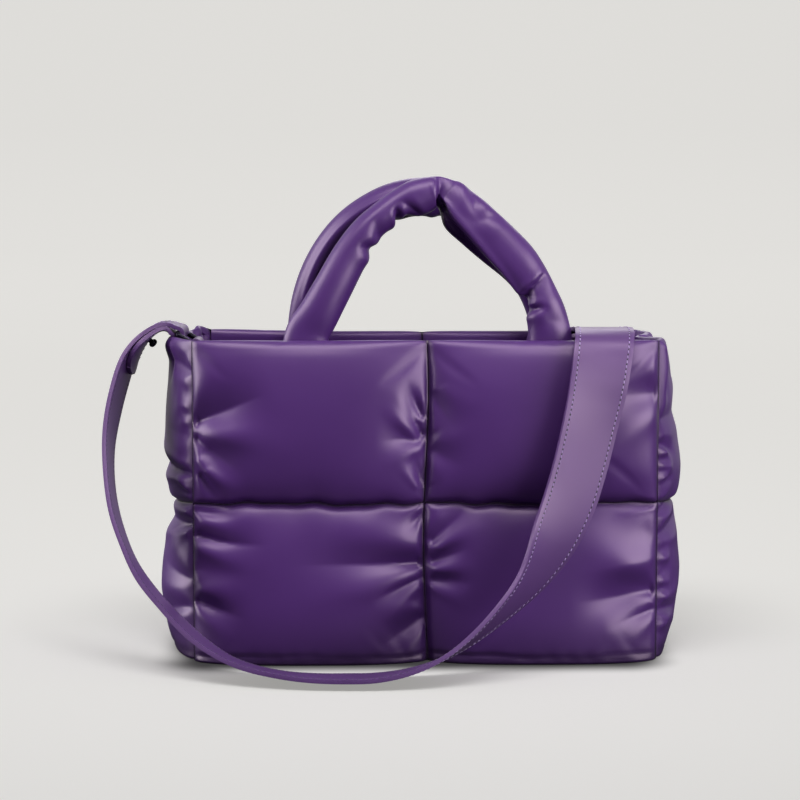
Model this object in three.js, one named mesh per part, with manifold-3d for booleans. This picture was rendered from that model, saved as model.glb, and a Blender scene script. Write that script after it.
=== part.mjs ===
// A soft quilted handbag: four padded walls on a flat base, two padded carrying handles,
// and a flat shoulder strap that hangs over the front, lies on the floor and rises to the left ring.
// Millimetres. X runs to the right, Y away from the viewer, Z up; the origin is on the floor under
// the middle of the base.
import * as THREE from 'three';
import { mergeVertices } from 'three/addons/utils/BufferGeometryUtils.js';
import Module from 'manifold-3d';

const wasm = await Module();
wasm.setup();

// Body
const PANEL_WIDTH = 344;
const BODY_DEPTH = 144;
const BODY_HEIGHT = 234;
const SEAM_WALL = 4;
const GAP = 0.3;
const FLOOR_CLEARANCE = 0.4;
const BASE_THICKNESS = 5;

// Stuffing: how far a quilted cell stands out of its seams, and the wall's slack between them
const PANEL_PUFF = 21;
const GUSSET_PUFF = 13;
const LINING_PUFF = 3;
const PANEL_BOW = 5;
const PUFF_FULLNESS = 2.6;
const PUFF_ROUNDNESS = 0.6;
const RIM_REACH = 0.93;
const RIM_CROWN = 0.3;
const RIM_START = 0.9;
const BACK_RIM_SAG = 4;

// Creases: the ridge beside a valley, where it lies in fold widths, and where a crease starts to fade
const FOLD_RIDGE = 0.5;
const FOLD_RIDGE_PLACE = 1.5;
const FOLD_RISE = 0.12;
const FOLD_FADE = 0.35;
const FOLD_ROOT = 2.5;

// Shoulder strap and its hardware
const STRAP_WIDTH = 43;
const STRAP_THICKNESS = 3;
const RING_WIRE = 2;
const RING_HALF_LENGTH = 26;
const RING_HALF_BREADTH = 8;
const RING_CLEARANCE = 0.6;
const TAB_THICKNESS = 1.8;
const TAB_SEATS = [0, 0.35, 0.7, 1];
const STUD = { capRadius: 4.4, capHeight: 1.1, neckRadius: 1.9, headFoot: 9, headRadius: 3.6 };
const STUD_HOLE = { radius: 2.3, length: 24 };
const LEFT_TAB = { width: 30, foot: 196, neck: 220 };
const RIGHT_TAB = { width: 10, foot: 202, neck: 226 };

// Facets
const FRONT_FACETS = { across: 30, up: 20 };
const BACK_FACETS = { across: 20, up: 14 };
const GUSSET_FACETS = { across: 12, up: 18 };
const RING_FACETS = { wire: 8, round: 28 };
const HANDLE_SIDES = 12;
const STUD_SIDES = 14;
const SEAM_CROWDING = 0.7;
const STEPS_PER_ROW = 2;

const LEFT = -1;
const RIGHT = 1;
const HALF_WALL = SEAM_WALL / 2;
const FRONT_INSIDE = BODY_DEPTH / 2 - HALF_WALL;
const GUSSET_HALF_SPAN = FRONT_INSIDE - GAP;
const GUSSET_SEAM = PANEL_WIDTH / 2 - HALF_WALL;
const { degToRad, lerp, smoothstep } = THREE.MathUtils;

const leather = new THREE.MeshStandardMaterial({ color: 0x4a2a7d, roughness: 0.38, metalness: 0 });
const strapLeather = new THREE.MeshStandardMaterial({ color: 0x44276f, roughness: 0.42, metalness: 0 });
const darkMetal = new THREE.MeshStandardMaterial({ color: 0x17151c, roughness: 0.3, metalness: 1 });

// Creases. Each starts at (a, z) on a seam, runs at angle for length, and dies out; a is measured
// across the wall from its middle, z up from the floor, and bend curves the crease sideways.
const FRONT_FOLDS = [
  { a: -167, z: 167, angle: 30, length: 52, width: 11, depth: 10, bend: 0 },
  { a: -167, z: 161, angle: -45, length: 48, width: 11, depth: 8, bend: 0.5 },
  { a: -2, z: 165, angle: 122, length: 36, width: 8, depth: 8, bend: -0.6 },
  { a: -2, z: 133, angle: 113, length: 24, width: 8, depth: 6, bend: 0 },
  { a: 169, z: 231, angle: 220, length: 40, width: 11, depth: 8, bend: 0 },
  { a: 169, z: 192, angle: 178, length: 34, width: 11, depth: 8, bend: 0.5 },
  { a: -170, z: 88, angle: 2, length: 56, width: 11, depth: 10, bend: 0.6 },
  { a: -168, z: 47, angle: -28, length: 40, width: 10, depth: 10, bend: 0 },
  { a: -1, z: 71, angle: 180, length: 84, width: 11, depth: 10, bend: 0 },
  { a: -1, z: 42, angle: 228, length: 46, width: 11, depth: 6, bend: 0 },
  { a: 3, z: 88, angle: 41, length: 42, width: 10, depth: 8, bend: 0 },
  { a: 169, z: 97, angle: 208, length: 56, width: 12, depth: 10, bend: 0 },
  { a: 169, z: 40, angle: 218, length: 44, width: 11, depth: 10, bend: 0 },
];
const BACK_FOLDS = [
  { a: -168, z: 178, angle: -18, length: 54, width: 12, depth: 10, bend: 0 },
  { a: 2, z: 158, angle: 62, length: 44, width: 11, depth: 8, bend: 0 },
  { a: 168, z: 171, angle: 200, length: 50, width: 12, depth: 10, bend: 0 },
  { a: -168, z: 66, angle: 16, length: 58, width: 12, depth: 10, bend: 0 },
  { a: -2, z: 76, angle: 170, length: 66, width: 12, depth: 10, bend: 0 },
  { a: 2, z: 62, angle: -22, length: 52, width: 12, depth: 8, bend: 0 },
  { a: 168, z: 82, angle: 168, length: 56, width: 12, depth: 10, bend: 0 },
];
const LEFT_FOLDS = [
  { a: -68, z: 203, angle: 8, length: 44, width: 11, depth: 6, bend: 0 },
  { a: -68, z: 133, angle: 8, length: 84, width: 10, depth: 8, bend: 0 },
  { a: -68, z: 92, angle: -4, length: 70, width: 10, depth: 8, bend: 0 },
  { a: -68, z: 40, angle: -12, length: 62, width: 10, depth: 6, bend: 0 },
  { a: 68, z: 176, angle: 190, length: 60, width: 11, depth: 8, bend: 0 },
  { a: 68, z: 70, angle: 172, length: 60, width: 11, depth: 8, bend: 0 },
];
const RIGHT_FOLDS = [
  { a: -68, z: 172, angle: 6, length: 72, width: 10, depth: 8, bend: 0 },
  { a: -68, z: 140, angle: -14, length: 54, width: 10, depth: 6, bend: 0 },
  { a: -68, z: 92, angle: 12, length: 70, width: 10, depth: 8, bend: 0 },
  { a: -68, z: 48, angle: -8, length: 56, width: 10, depth: 8, bend: 0 },
  { a: 68, z: 190, angle: 176, length: 62, width: 11, depth: 8, bend: 0 },
  { a: 68, z: 62, angle: 186, length: 60, width: 11, depth: 8, bend: 0 },
];

// How far each gusset bows out of its corner seams, by height (0 floor, 1 rim). The left one is
// pulled out and down where the strap crosses it; the right one is pinched in at its ring tab.
const LEFT_SIDE = {
  side: LEFT,
  folds: LEFT_FOLDS,
  rimDip: 7,
  rimPinch: 0,
  bows: [
    { height: 0, bow: 12 },
    { height: 0.2, bow: 20 },
    { height: 0.48, bow: 19 },
    { height: 0.7, bow: 15 },
    { height: 0.9, bow: 10 },
    { height: 1, bow: 20 },
  ],
};
const RIGHT_SIDE = {
  side: RIGHT,
  folds: RIGHT_FOLDS,
  rimDip: 0,
  rimPinch: 16,
  bows: [
    { height: 0, bow: 12 },
    { height: 0.2, bow: 17 },
    { height: 0.48, bow: 19 },
    { height: 0.65, bow: 15 },
    { height: 0.9, bow: 11 },
    { height: 1, bow: 11 },
  ],
};
const PINCH_SPREAD = 0.35;
const PINCH_START = 0.72;

// Front handle, a soft tube with two kinks: the middle of each section, and how far the stuffing
// reaches to the outside and the inside of the arch, and to the front and back.
const FRONT_HANDLE = [
  { x: -89, y: -65.6, z: 205, outer: 16, inner: 16, deep: 3.5 },
  { x: -89, y: -62.4, z: 222, outer: 17, inner: 17, deep: 6 },
  { x: -87.5, y: -57, z: 241, outer: 16.5, inner: 16.5, deep: 10 },
  { x: -79, y: -54, z: 258, outer: 16, inner: 16, deep: 14.5 },
  { x: -69.5, y: -51, z: 277, outer: 16, inner: 16, deep: 16 },
  { x: -57, y: -47, z: 301, outer: 14.5, inner: 14.5, deep: 16 },
  { x: -44, y: -44, z: 319, outer: 13.5, inner: 12.5, deep: 16 },
  { x: -31, y: -42, z: 331, outer: 12, inner: 11.5, deep: 15 },
  { x: -20, y: -41, z: 338, outer: 12, inner: 10, deep: 14 },
  { x: -8, y: -40, z: 342.5, outer: 13, inner: 14.5, deep: 15 },
  { x: 3, y: -40, z: 345, outer: 13, inner: 13, deep: 14 },
  { x: 9, y: -40, z: 346, outer: 12.5, inner: 9, deep: 12 },
  { x: 15, y: -40, z: 342, outer: 16, inner: 9, deep: 12 },
  { x: 25, y: -41, z: 334, outer: 17, inner: 17, deep: 13 },
  { x: 40, y: -43, z: 320, outer: 18, inner: 17.5, deep: 14 },
  { x: 54, y: -45, z: 307, outer: 18, inner: 17, deep: 14.5 },
  { x: 67, y: -48, z: 294, outer: 17.5, inner: 15.5, deep: 14.5 },
  { x: 77.5, y: -50, z: 281, outer: 15.5, inner: 14, deep: 14 },
  { x: 84.5, y: -52, z: 270, outer: 14, inner: 9.5, deep: 13 },
  { x: 89, y: -54, z: 258, outer: 15, inner: 14, deep: 13 },
  { x: 92.5, y: -57, z: 241, outer: 16, inner: 16, deep: 10 },
  { x: 94, y: -62.4, z: 222, outer: 17, inner: 17, deep: 6 },
  { x: 94, y: -65.6, z: 205, outer: 16, inner: 16, deep: 3.5 },
];

// Rear handle, a plain arch that leans over the opening and slouches in at its right shoulder
const REAR_HANDLE = {
  leftSpan: 90,
  rightSpan: 98,
  slouch: 8,
  foot: 241,
  rise: 103,
  footDepth: 57,
  topDepth: 34,
  footHalfDepth: 10,
  footTaper: 2.2,
  radius: 16,
  gather: 1.3,
  gathers: 9,
  rows: 15,
};

// The shoulder strap's free run from over the right ring to over the left one: its middle line, and
// the way its outer face looks.
const STRAP_ROUTE = [
  { x: 133.3, y: -14, z: 242.6, lookX: 0, lookY: 0, lookZ: 1 },
  { x: 132.8, y: -40, z: 244.4, lookX: 0, lookY: 0, lookZ: 1 },
  { x: 132, y: -62, z: 245.2, lookX: 0, lookY: -0.1, lookZ: 1 },
  { x: 131, y: -76, z: 243.8, lookX: 0, lookY: -0.3, lookZ: 0.95 },
  { x: 129.5, y: -88.5, z: 238, lookX: 0.05, lookY: -0.7, lookZ: 0.7 },
  { x: 127.5, y: -95.5, z: 227, lookX: 0.1, lookY: -0.95, lookZ: 0.3 },
  { x: 125, y: -100, z: 212, lookX: 0.12, lookY: -1, lookZ: 0.1 },
  { x: 121.5, y: -102.5, z: 194, lookX: 0.15, lookY: -1, lookZ: 0.05 },
  { x: 117.5, y: -104.5, z: 177, lookX: 0.18, lookY: -1, lookZ: 0 },
  { x: 111.5, y: -107.5, z: 152.5, lookX: 0.2, lookY: -0.95, lookZ: -0.05 },
  { x: 103, y: -112, z: 125, lookX: 0.28, lookY: -0.92, lookZ: -0.12 },
  { x: 93, y: -117.5, z: 102, lookX: 0.4, lookY: -0.85, lookZ: -0.3 },
  { x: 81, y: -124, z: 80, lookX: 0.5, lookY: -0.7, lookZ: -0.45 },
  { x: 69, y: -129.5, z: 64, lookX: 0.5, lookY: -0.56, lookZ: -0.6 },
  { x: 51, y: -136.5, z: 46.5, lookX: 0.45, lookY: -0.44, lookZ: -0.74 },
  { x: 30, y: -143.5, z: 29.5, lookX: 0.36, lookY: -0.34, lookZ: -0.86 },
  { x: 8, y: -149, z: 16.5, lookX: 0.24, lookY: -0.24, lookZ: -0.94 },
  { x: -13, y: -152, z: 9, lookX: 0.1, lookY: -0.17, lookZ: -0.98 },
  { x: -36, y: -153.5, z: 5, lookX: 0.03, lookY: -0.12, lookZ: -0.99 },
  { x: -59, y: -153.5, z: 4.3, lookX: 0, lookY: -0.11, lookZ: -0.99 },
  { x: -84, y: -151.5, z: 4.6, lookX: -0.03, lookY: -0.1, lookZ: -0.99 },
  { x: -107, y: -147, z: 6.4, lookX: -0.08, lookY: -0.06, lookZ: -0.99 },
  { x: -128, y: -141, z: 10, lookX: -0.2, lookY: -0.02, lookZ: -0.97 },
  { x: -149.5, y: -134, z: 16.5, lookX: -0.36, lookY: 0.02, lookZ: -0.93 },
  { x: -170.5, y: -124.5, z: 27.5, lookX: -0.52, lookY: 0.05, lookZ: -0.85 },
  { x: -189.4, y: -113, z: 43, lookX: -0.66, lookY: 0.08, lookZ: -0.74 },
  { x: -208.5, y: -100, z: 62, lookX: -0.8, lookY: 0.1, lookZ: -0.6 },
  { x: -222.8, y: -87, z: 83, lookX: -0.92, lookY: 0.11, lookZ: -0.38 },
  { x: -230.6, y: -74, z: 105.7, lookX: -0.97, lookY: 0.12, lookZ: -0.2 },
  { x: -235.2, y: -58.5, z: 133, lookX: -1, lookY: 0.12, lookZ: -0.05 },
  { x: -236, y: -43.5, z: 161.6, lookX: -1, lookY: 0.12, lookZ: 0.05 },
  { x: -234, y: -30, z: 190.5, lookX: -0.98, lookY: 0.1, lookZ: 0.18 },
  { x: -227.6, y: -18, z: 216, lookX: -0.93, lookY: 0.08, lookZ: 0.36 },
  { x: -217.8, y: -9, z: 233, lookX: -0.77, lookY: 0.05, lookZ: 0.63 },
  { x: -206, y: -3.5, z: 243.3, lookX: -0.5, lookY: 0, lookZ: 0.86 },
  { x: -195.7, y: -0.5, z: 246.4, lookX: -0.05, lookY: 0, lookZ: 1 },
];
// Its turned-back ends, under the run
const RIGHT_RETURN = [
  { x: 132.8, y: -30, z: 240.2, lookX: 0, lookY: 0, lookZ: -1 },
  { x: 133, y: -13, z: 236.4, lookX: 0, lookY: 0.2, lookZ: -1 },
];
const LEFT_RETURN = [
  { x: -195.5, y: -0.5, z: 237.6, lookX: 0, lookY: 0, lookZ: -1 },
  { x: -203, y: -2.5, z: 236.6, lookX: 0.35, lookY: 0, lookZ: -0.94 },
  { x: -213.8, y: -8, z: 228.6, lookX: 0.75, lookY: 0, lookZ: -0.66 },
  { x: -223.4, y: -17, z: 213.5, lookX: 0.93, lookY: 0, lookZ: -0.36 },
  { x: -226.4, y: -21.5, z: 205, lookX: 0.96, lookY: 0, lookZ: -0.28 },
];
const STRAP_FREE_FIRST = STRAP_ROUTE.length - 3;

// The rings' bars that the strap turns round
const RIGHT_BAR = { x: 133.5, y: 0, z: 238 };
const LEFT_BAR = { x: -187, y: 0, z: 240 };
const LEFT_RING_SLOPE = 32;
const BAR_TURN_STEPS = 4;
const STRAP_TURN_RADIUS = RING_WIRE + RING_CLEARANCE + STRAP_THICKNESS / 2;
const TAB_TURN_RADIUS = RING_WIRE + RING_CLEARANCE + TAB_THICKNESS / 2;

// Reads a table of rows at a height, easing from one row to the next
function tableValue(rows, height, column) {
  const next = rows.findIndex((row) => row.height >= height);
  if (next <= 0) return rows[Math.max(next, 0)][column];
  const from = rows[next - 1];
  const to = rows[next];
  const share = smoothstep(height, from.height, to.height);
  return lerp(from[column], to[column], share);
}

// A stuffed cell's profile between two seams (t from 0 to 1)
function puff(t) {
  const fromMiddle = Math.abs(2 * t - 1);
  return Math.pow(Math.max(0, 1 - Math.pow(fromMiddle, PUFF_FULLNESS)), PUFF_ROUNDNESS);
}

// The lining side of the same cell, which only swells gently
function swell(t) {
  return Math.sin(Math.PI * t) ** 2;
}

// Place within a quilted cell: even steps drawn together towards the seams
function towardsSeams(t) {
  const eased = (1 - Math.cos(Math.PI * t)) / 2;
  return lerp(t, eased, SEAM_CROWDING);
}

// Splits -1..1 into two cells, as the middle seam does
function acrossCell(u) {
  return u < 0 ? u + 1 : u;
}

// Splits 0..1 into a lower cell and an upper one that stops short of closing at the rim
function upCell(v) {
  return v < 0.5 ? 2 * v : (2 * v - 1) * RIM_REACH;
}

// Height of the creases at a point of a wall: a valley with a ridge on each side
function foldRelief(folds, a, z) {
  let relief = 0;
  for (const fold of folds) {
    const turn = degToRad(fold.angle);
    const da = a - fold.a;
    const dz = z - fold.z;
    const along = (da * Math.cos(turn) + dz * Math.sin(turn)) / fold.length;
    const sideways = (dz * Math.cos(turn) - da * Math.sin(turn)) / fold.width;
    const across = Math.abs(sideways - fold.bend * along * along);
    const fade = smoothstep(along, 0, FOLD_RISE) * (1 - smoothstep(along, FOLD_FADE, 1));
    const ridge = FOLD_RIDGE * Math.exp(-((across - FOLD_RIDGE_PLACE) ** 2));
    relief += fold.depth * fade * (ridge - Math.exp(-(across ** 2)));
  }
  return relief;
}

// Moves every corner of a geometry and welds it
function shaped(geometry, place) {
  geometry.deleteAttribute('normal');
  geometry.deleteAttribute('uv');
  const position = geometry.attributes.position;
  const corner = new THREE.Vector3();
  for (let i = 0; i < position.count; i += 1) {
    corner.fromBufferAttribute(position, i);
    const moved = place(corner);
    position.setXYZ(i, moved.x, moved.y, moved.z);
  }
  const welded = mergeVertices(geometry, 1e-3);
  welded.computeVertexNormals();
  return welded;
}

function named(name, geometry, material) {
  const mesh = new THREE.Mesh(geometry, material);
  mesh.name = name;
  return mesh;
}

// A wall's height on its outer face, middle and inner face: the rim is rounded over
function rimHeight(v, w, top, thickness) {
  const height = FLOOR_CLEARANCE + v * (top - FLOOR_CLEARANCE);
  const crown = v < 1 ? 0 : RIM_CROWN * thickness;
  return height + crown * (1 - Math.abs(w)) - smoothstep(v, RIM_START, 1) * Math.max(w, 0) * crown;
}

// Front and back: how far each face stands from the seam plane
function panelFaces(folds, u, v) {
  const swing = PANEL_BOW * (1 - u * u) * Math.sin(Math.PI * v);
  const cell = puff(acrossCell(u)) * puff(upCell(v));
  const crease = foldRelief(folds, (u * PANEL_WIDTH) / 2, v * BODY_HEIGHT) * Math.min(1, FOLD_ROOT * cell);
  const outer = swing + HALF_WALL + Math.max(0, PANEL_PUFF * cell + crease);
  const inner = swing - HALF_WALL - LINING_PUFF * swell(acrossCell(u)) * swell(upCell(v));
  return { outer, inner };
}

function panelPoint(way, folds, sag, u, v, w) {
  const faces = panelFaces(folds, u, v);
  const depth = lerp(faces.inner, faces.outer, (w + 1) / 2);
  const top = BODY_HEIGHT - sag * (1 - u * u);
  const height = rimHeight(v, w, top, faces.outer - faces.inner);
  return new THREE.Vector3((u * PANEL_WIDTH) / 2, way * (BODY_DEPTH / 2 + depth), height);
}

// Eases a box's even steps towards the two cells' seams
function seamSteps(t) {
  const cell = t < 0.5 ? 0 : 0.5;
  return cell + towardsSeams(2 * (t - cell)) / 2;
}

function panel(name, way, folds, sag, facets) {
  const box = new THREE.BoxGeometry(2, 2, 1, facets.across, 2, facets.up);
  const geometry = shaped(box, (corner) => {
    const u = 2 * seamSteps((corner.x + 1) / 2) - 1;
    const v = seamSteps(corner.z + 0.5);
    return panelPoint(way, folds, sag, u, v, way * corner.y);
  });
  return named(name, geometry, leather);
}

// Gussets: how far each face stands from the middle of the bag
function gussetFaces(wall, u, v) {
  const pinch = wall.rimPinch * smoothstep(v, PINCH_START, 1) * Math.exp(-((u / PINCH_SPREAD) ** 2));
  const seam = GUSSET_SEAM + tableValue(wall.bows, v, 'bow') * (1 - u * u) - pinch;
  const t = (u + 1) / 2;
  const cell = puff(t) * puff(upCell(v));
  const crease = foldRelief(wall.folds, u * GUSSET_HALF_SPAN, v * BODY_HEIGHT) * Math.min(1, FOLD_ROOT * cell);
  const outer = seam + HALF_WALL + Math.max(0, GUSSET_PUFF * cell + crease);
  const inner = seam - HALF_WALL - LINING_PUFF * swell(t) * swell(upCell(v));
  return { outer, inner };
}

function gusset(name, wall) {
  const box = new THREE.BoxGeometry(2, 2, 1, 2, GUSSET_FACETS.across, GUSSET_FACETS.up);
  const geometry = shaped(box, (corner) => {
    const u = 2 * towardsSeams((corner.y + 1) / 2) - 1;
    const v = seamSteps(corner.z + 0.5);
    const w = wall.side * corner.x;
    const faces = gussetFaces(wall, u, v);
    const reach = lerp(faces.inner, faces.outer, (w + 1) / 2);
    const top = BODY_HEIGHT - wall.rimDip * (1 - u * u);
    const height = rimHeight(v, w, top, faces.outer - faces.inner);
    return new THREE.Vector3(wall.side * reach, u * GUSSET_HALF_SPAN, height);
  });
  return named(name, geometry, leather);
}

// How far out a gusset's inner face is clear, over a width at a height
function clearInside(wall, y, width, z) {
  const places = [y - width / 2, y, y + width / 2];
  const reaches = places.map((place) => gussetFaces(wall, place / GUSSET_HALF_SPAN, z / BODY_HEIGHT).inner);
  return Math.min(...reaches);
}

// The flat base lies inside the four walls
function base() {
  const box = new THREE.BoxGeometry(2, 2, 1, 2, 12, 1);
  const geometry = shaped(box, (corner) => {
    const wall = corner.x < 0 ? LEFT_SIDE : RIGHT_SIDE;
    const u = corner.y;
    const end = GUSSET_SEAM + tableValue(wall.bows, 0, 'bow') * (1 - u * u) - HALF_WALL - GAP;
    return new THREE.Vector3(corner.x * end, u * GUSSET_HALF_SPAN, (corner.z + 0.5) * BASE_THICKNESS);
  });
  return named('base_panel', geometry, leather);
}

function pointOf(row) {
  return new THREE.Vector3(row.x, row.y, row.z);
}

// Reads a curve through rows, and the rows' other columns eased along it
function rowReader(rows) {
  const curve = new THREE.CatmullRomCurve3(rows.map(pointOf), false, 'centripetal');
  const last = rows.length - 1;
  return {
    point: (t) => curve.getPoint(t),
    tangent: (t) => curve.getTangent(t),
    value: (t, column) => {
      const place = Math.min(t * last, last - 1e-6);
      const row = Math.floor(place);
      return lerp(rows[row][column], rows[row + 1][column], place - row);
    },
  };
}

// A padded tube through its sections; the arch's outside is away from its middle
function handle(name, rows) {
  const read = rowReader(rows);
  const steps = (rows.length - 1) * STEPS_PER_ROW;
  const tube = new THREE.CylinderGeometry(1, 1, 1, HANDLE_SIDES, steps);
  const back = new THREE.Vector3(0, 1, 0);
  const geometry = shaped(tube, (corner) => {
    const t = corner.y + 0.5;
    const tangent = read.tangent(t);
    const outward = new THREE.Vector3().crossVectors(tangent, back).normalize();
    const depth = new THREE.Vector3().crossVectors(outward, tangent);
    const reach = corner.x > 0 ? read.value(t, 'outer') : read.value(t, 'inner');
    const moved = read.point(t);
    moved.addScaledVector(outward, corner.x * reach);
    return moved.addScaledVector(depth, corner.z * read.value(t, 'deep'));
  });
  return named(name, geometry, leather);
}

// The rear arch's rows: flat ends sewn inside the rim, and a half ellipse between them with small
// gathers along its inside
function rearHandleRows() {
  const { leftSpan, rightSpan, slouch, foot, rise, footDepth, topDepth } = REAR_HANDLE;
  const { footHalfDepth, footTaper, radius, gather, gathers } = REAR_HANDLE;
  const sewn = FRONT_HANDLE.slice(0, 2).map((row) => ({ ...row, y: -row.y }));
  const arch = [];
  for (let i = 0; i < REAR_HANDLE.rows; i += 1) {
    const share = i / (REAR_HANDLE.rows - 1);
    const turn = Math.PI * share;
    const lift = Math.sin(turn);
    const leftHalf = share < 0.5;
    const reach = -Math.cos(turn) * (leftHalf ? leftSpan : rightSpan);
    arch.push({
      x: reach + (leftHalf ? 0 : slouch * Math.sin(2 * turn)),
      y: lerp(footDepth, topDepth, lift),
      z: foot + rise * lift,
      outer: radius,
      inner: radius - gather + gather * Math.cos(2 * Math.PI * gathers * share),
      deep: lerp(footHalfDepth, radius, Math.min(1, footTaper * lift)),
    });
  }
  const leftEnd = sewn.map((row) => ({ ...row, x: -leftSpan }));
  const rightEnd = sewn.map((row) => ({ ...row, x: rightSpan })).reverse();
  return [...leftEnd, ...arch, ...rightEnd];
}

// Rows of a band's half turn round a bar, from one side of it over the far end to the other
function barTurn(bar, radius, from, to, toward) {
  const rows = [];
  for (let i = 0; i <= BAR_TURN_STEPS; i += 1) {
    const turn = degToRad(lerp(from, to, i / BAR_TURN_STEPS));
    const look = toward.clone().multiplyScalar(Math.cos(turn));
    look.z += Math.sin(turn);
    const place = pointOf(bar).addScaledVector(look, radius);
    rows.push({ ...place, lookX: look.x, lookY: look.y, lookZ: look.z });
  }
  return rows;
}

// A flat band along rows that also say where its outer face looks
function band(rows, width, thickness) {
  const read = rowReader(rows);
  const steps = (rows.length - 1) * STEPS_PER_ROW;
  const box = new THREE.BoxGeometry(width, thickness, 1, 1, 1, steps);
  return shaped(box, (corner) => {
    const t = corner.z + 0.5;
    const frame = bandFrame(read, t);
    const moved = read.point(t);
    moved.addScaledVector(frame.across, corner.x);
    return moved.addScaledVector(frame.look, corner.y);
  });
}

function bandFrame(read, t) {
  const tangent = read.tangent(t);
  const look = new THREE.Vector3(read.value(t, 'lookX'), read.value(t, 'lookY'), read.value(t, 'lookZ'));
  const across = new THREE.Vector3().crossVectors(look, tangent).normalize();
  return { across, look: new THREE.Vector3().crossVectors(tangent, across) };
}

function solidOf(geometry) {
  const mesh = new wasm.Mesh({
    numProp: 3,
    vertProperties: new Float32Array(geometry.attributes.position.array),
    triVerts: new Uint32Array(geometry.index.array),
  });
  return new wasm.Manifold(mesh);
}

function geometryOf(solid) {
  const mesh = solid.getMesh();
  const geometry = new THREE.BufferGeometry();
  geometry.setAttribute('position', new THREE.BufferAttribute(mesh.vertProperties, 3));
  geometry.setIndex(new THREE.BufferAttribute(mesh.triVerts, 1));
  geometry.computeVertexNormals();
  return geometry;
}

// The stud stands square to the strap, through the run and the end turned back under it
function studPlace() {
  const read = rowReader(STRAP_ROUTE.slice(STRAP_FREE_FIRST - 1));
  const t = 0.5;
  const frame = bandFrame(read, t);
  const group = new THREE.Group();
  group.position.copy(read.point(t));
  group.quaternion.setFromUnitVectors(new THREE.Vector3(0, 1, 0), frame.look.negate());
  group.updateMatrix();
  return group;
}

function studGeometry() {
  const { capRadius, capHeight, neckRadius, headFoot, headRadius } = STUD;
  const capFoot = -STRAP_THICKNESS / 2 - GAP;
  const headTop = headFoot + 1.4 * headRadius;
  const profile = [
    new THREE.Vector2(0, capFoot - capHeight),
    new THREE.Vector2(0.95 * capRadius, capFoot - 0.6 * capHeight),
    new THREE.Vector2(capRadius, capFoot),
    new THREE.Vector2(neckRadius, capFoot),
    new THREE.Vector2(neckRadius, headFoot),
    new THREE.Vector2(0.85 * headRadius, lerp(headFoot, headTop, 0.12)),
    new THREE.Vector2(headRadius, lerp(headFoot, headTop, 0.5)),
    new THREE.Vector2(0.8 * headRadius, lerp(headFoot, headTop, 0.84)),
    new THREE.Vector2(0, headTop),
  ];
  return shaped(new THREE.LatheGeometry(profile, STUD_SIDES), (corner) => corner);
}

function shoulderStrap(stud) {
  const rightTurn = barTurn(RIGHT_BAR, STRAP_TURN_RADIUS, -90, 90, new THREE.Vector3(0, 1, 0));
  const leftTurn = barTurn(LEFT_BAR, STRAP_TURN_RADIUS, 90, -90, new THREE.Vector3(1, 0, 0));
  const rows = [...RIGHT_RETURN, ...rightTurn, ...STRAP_ROUTE, ...leftTurn, ...LEFT_RETURN];
  const strip = band(rows, STRAP_WIDTH, STRAP_THICKNESS);
  const { radius, length } = STUD_HOLE;
  const drill = shaped(new THREE.CylinderGeometry(radius, radius, length, STUD_SIDES), (corner) => corner);
  drill.applyMatrix4(stud.matrix);
  return named('shoulder_strap', geometryOf(solidOf(strip).subtract(solidOf(drill))), strapLeather);
}

// A rounded oblong ring of round wire, long along X, in its own XY plane
function ring(name) {
  const squareness = 0.25;
  const core = 10;
  const torus = new THREE.TorusGeometry(core, RING_WIRE, RING_FACETS.wire, RING_FACETS.round);
  const bow = (value, reach) => Math.sign(value) * reach * Math.pow(Math.abs(value), squareness);
  const geometry = shaped(torus, (corner) => {
    const turn = Math.atan2(corner.y, corner.x);
    const rise = Math.hypot(corner.x, corner.y) - core;
    const x = bow(Math.cos(turn), RING_HALF_LENGTH);
    const y = bow(Math.sin(turn), RING_HALF_BREADTH);
    const slopePower = 2 / squareness - 1;
    const outward = new THREE.Vector2(
      (Math.sign(x) * Math.pow(Math.abs(x / RING_HALF_LENGTH), slopePower)) / RING_HALF_LENGTH,
      (Math.sign(y) * Math.pow(Math.abs(y / RING_HALF_BREADTH), slopePower)) / RING_HALF_BREADTH,
    ).normalize();
    return new THREE.Vector3(x + outward.x * rise, y + outward.y * rise, corner.z);
  });
  return named(name, geometry, darkMetal);
}

// A leather tab doubled over a ring's bar and sewn down the inside of a gusset
function ringTab(name, wall, bar, tab) {
  const inward = new THREE.Vector3(-wall.side, 0, 0);
  const seat = (z, layer) => {
    const reach = clearInside(wall, bar.y, tab.width, z) - 2 * GAP - TAB_THICKNESS / 2;
    const x = wall.side * (reach - layer * (TAB_THICKNESS + GAP));
    return { x, y: bar.y, z, lookX: layer ? inward.x : -inward.x, lookY: 0, lookZ: 0 };
  };
  const turn = [];
  for (let i = 0; i <= BAR_TURN_STEPS; i += 1) {
    const angle = degToRad(lerp(0, 180, i / BAR_TURN_STEPS));
    const look = new THREE.Vector3(wall.side * Math.cos(angle), 0, Math.sin(angle));
    const place = pointOf(bar).addScaledVector(look, TAB_TURN_RADIUS);
    turn.push({ ...place, lookX: look.x, lookY: 0, lookZ: look.z });
  }
  const heights = TAB_SEATS.map((share) => lerp(tab.foot, tab.neck, share));
  const under = heights.map((z) => seat(z, 0));
  const over = heights.map((z) => seat(z, 1)).reverse();
  const rows = [...under, ...turn, ...over];
  return named(name, band(rows, tab.width, TAB_THICKNESS), strapLeather);
}

function body() {
  const group = new THREE.Group();
  group.add(panel('front_panel', -1, FRONT_FOLDS, 0, FRONT_FACETS));
  group.add(panel('back_panel', 1, BACK_FOLDS, BACK_RIM_SAG, BACK_FACETS));
  group.add(gusset('left_gusset', LEFT_SIDE));
  group.add(gusset('right_gusset', RIGHT_SIDE));
  group.add(base());
  return group;
}

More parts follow.
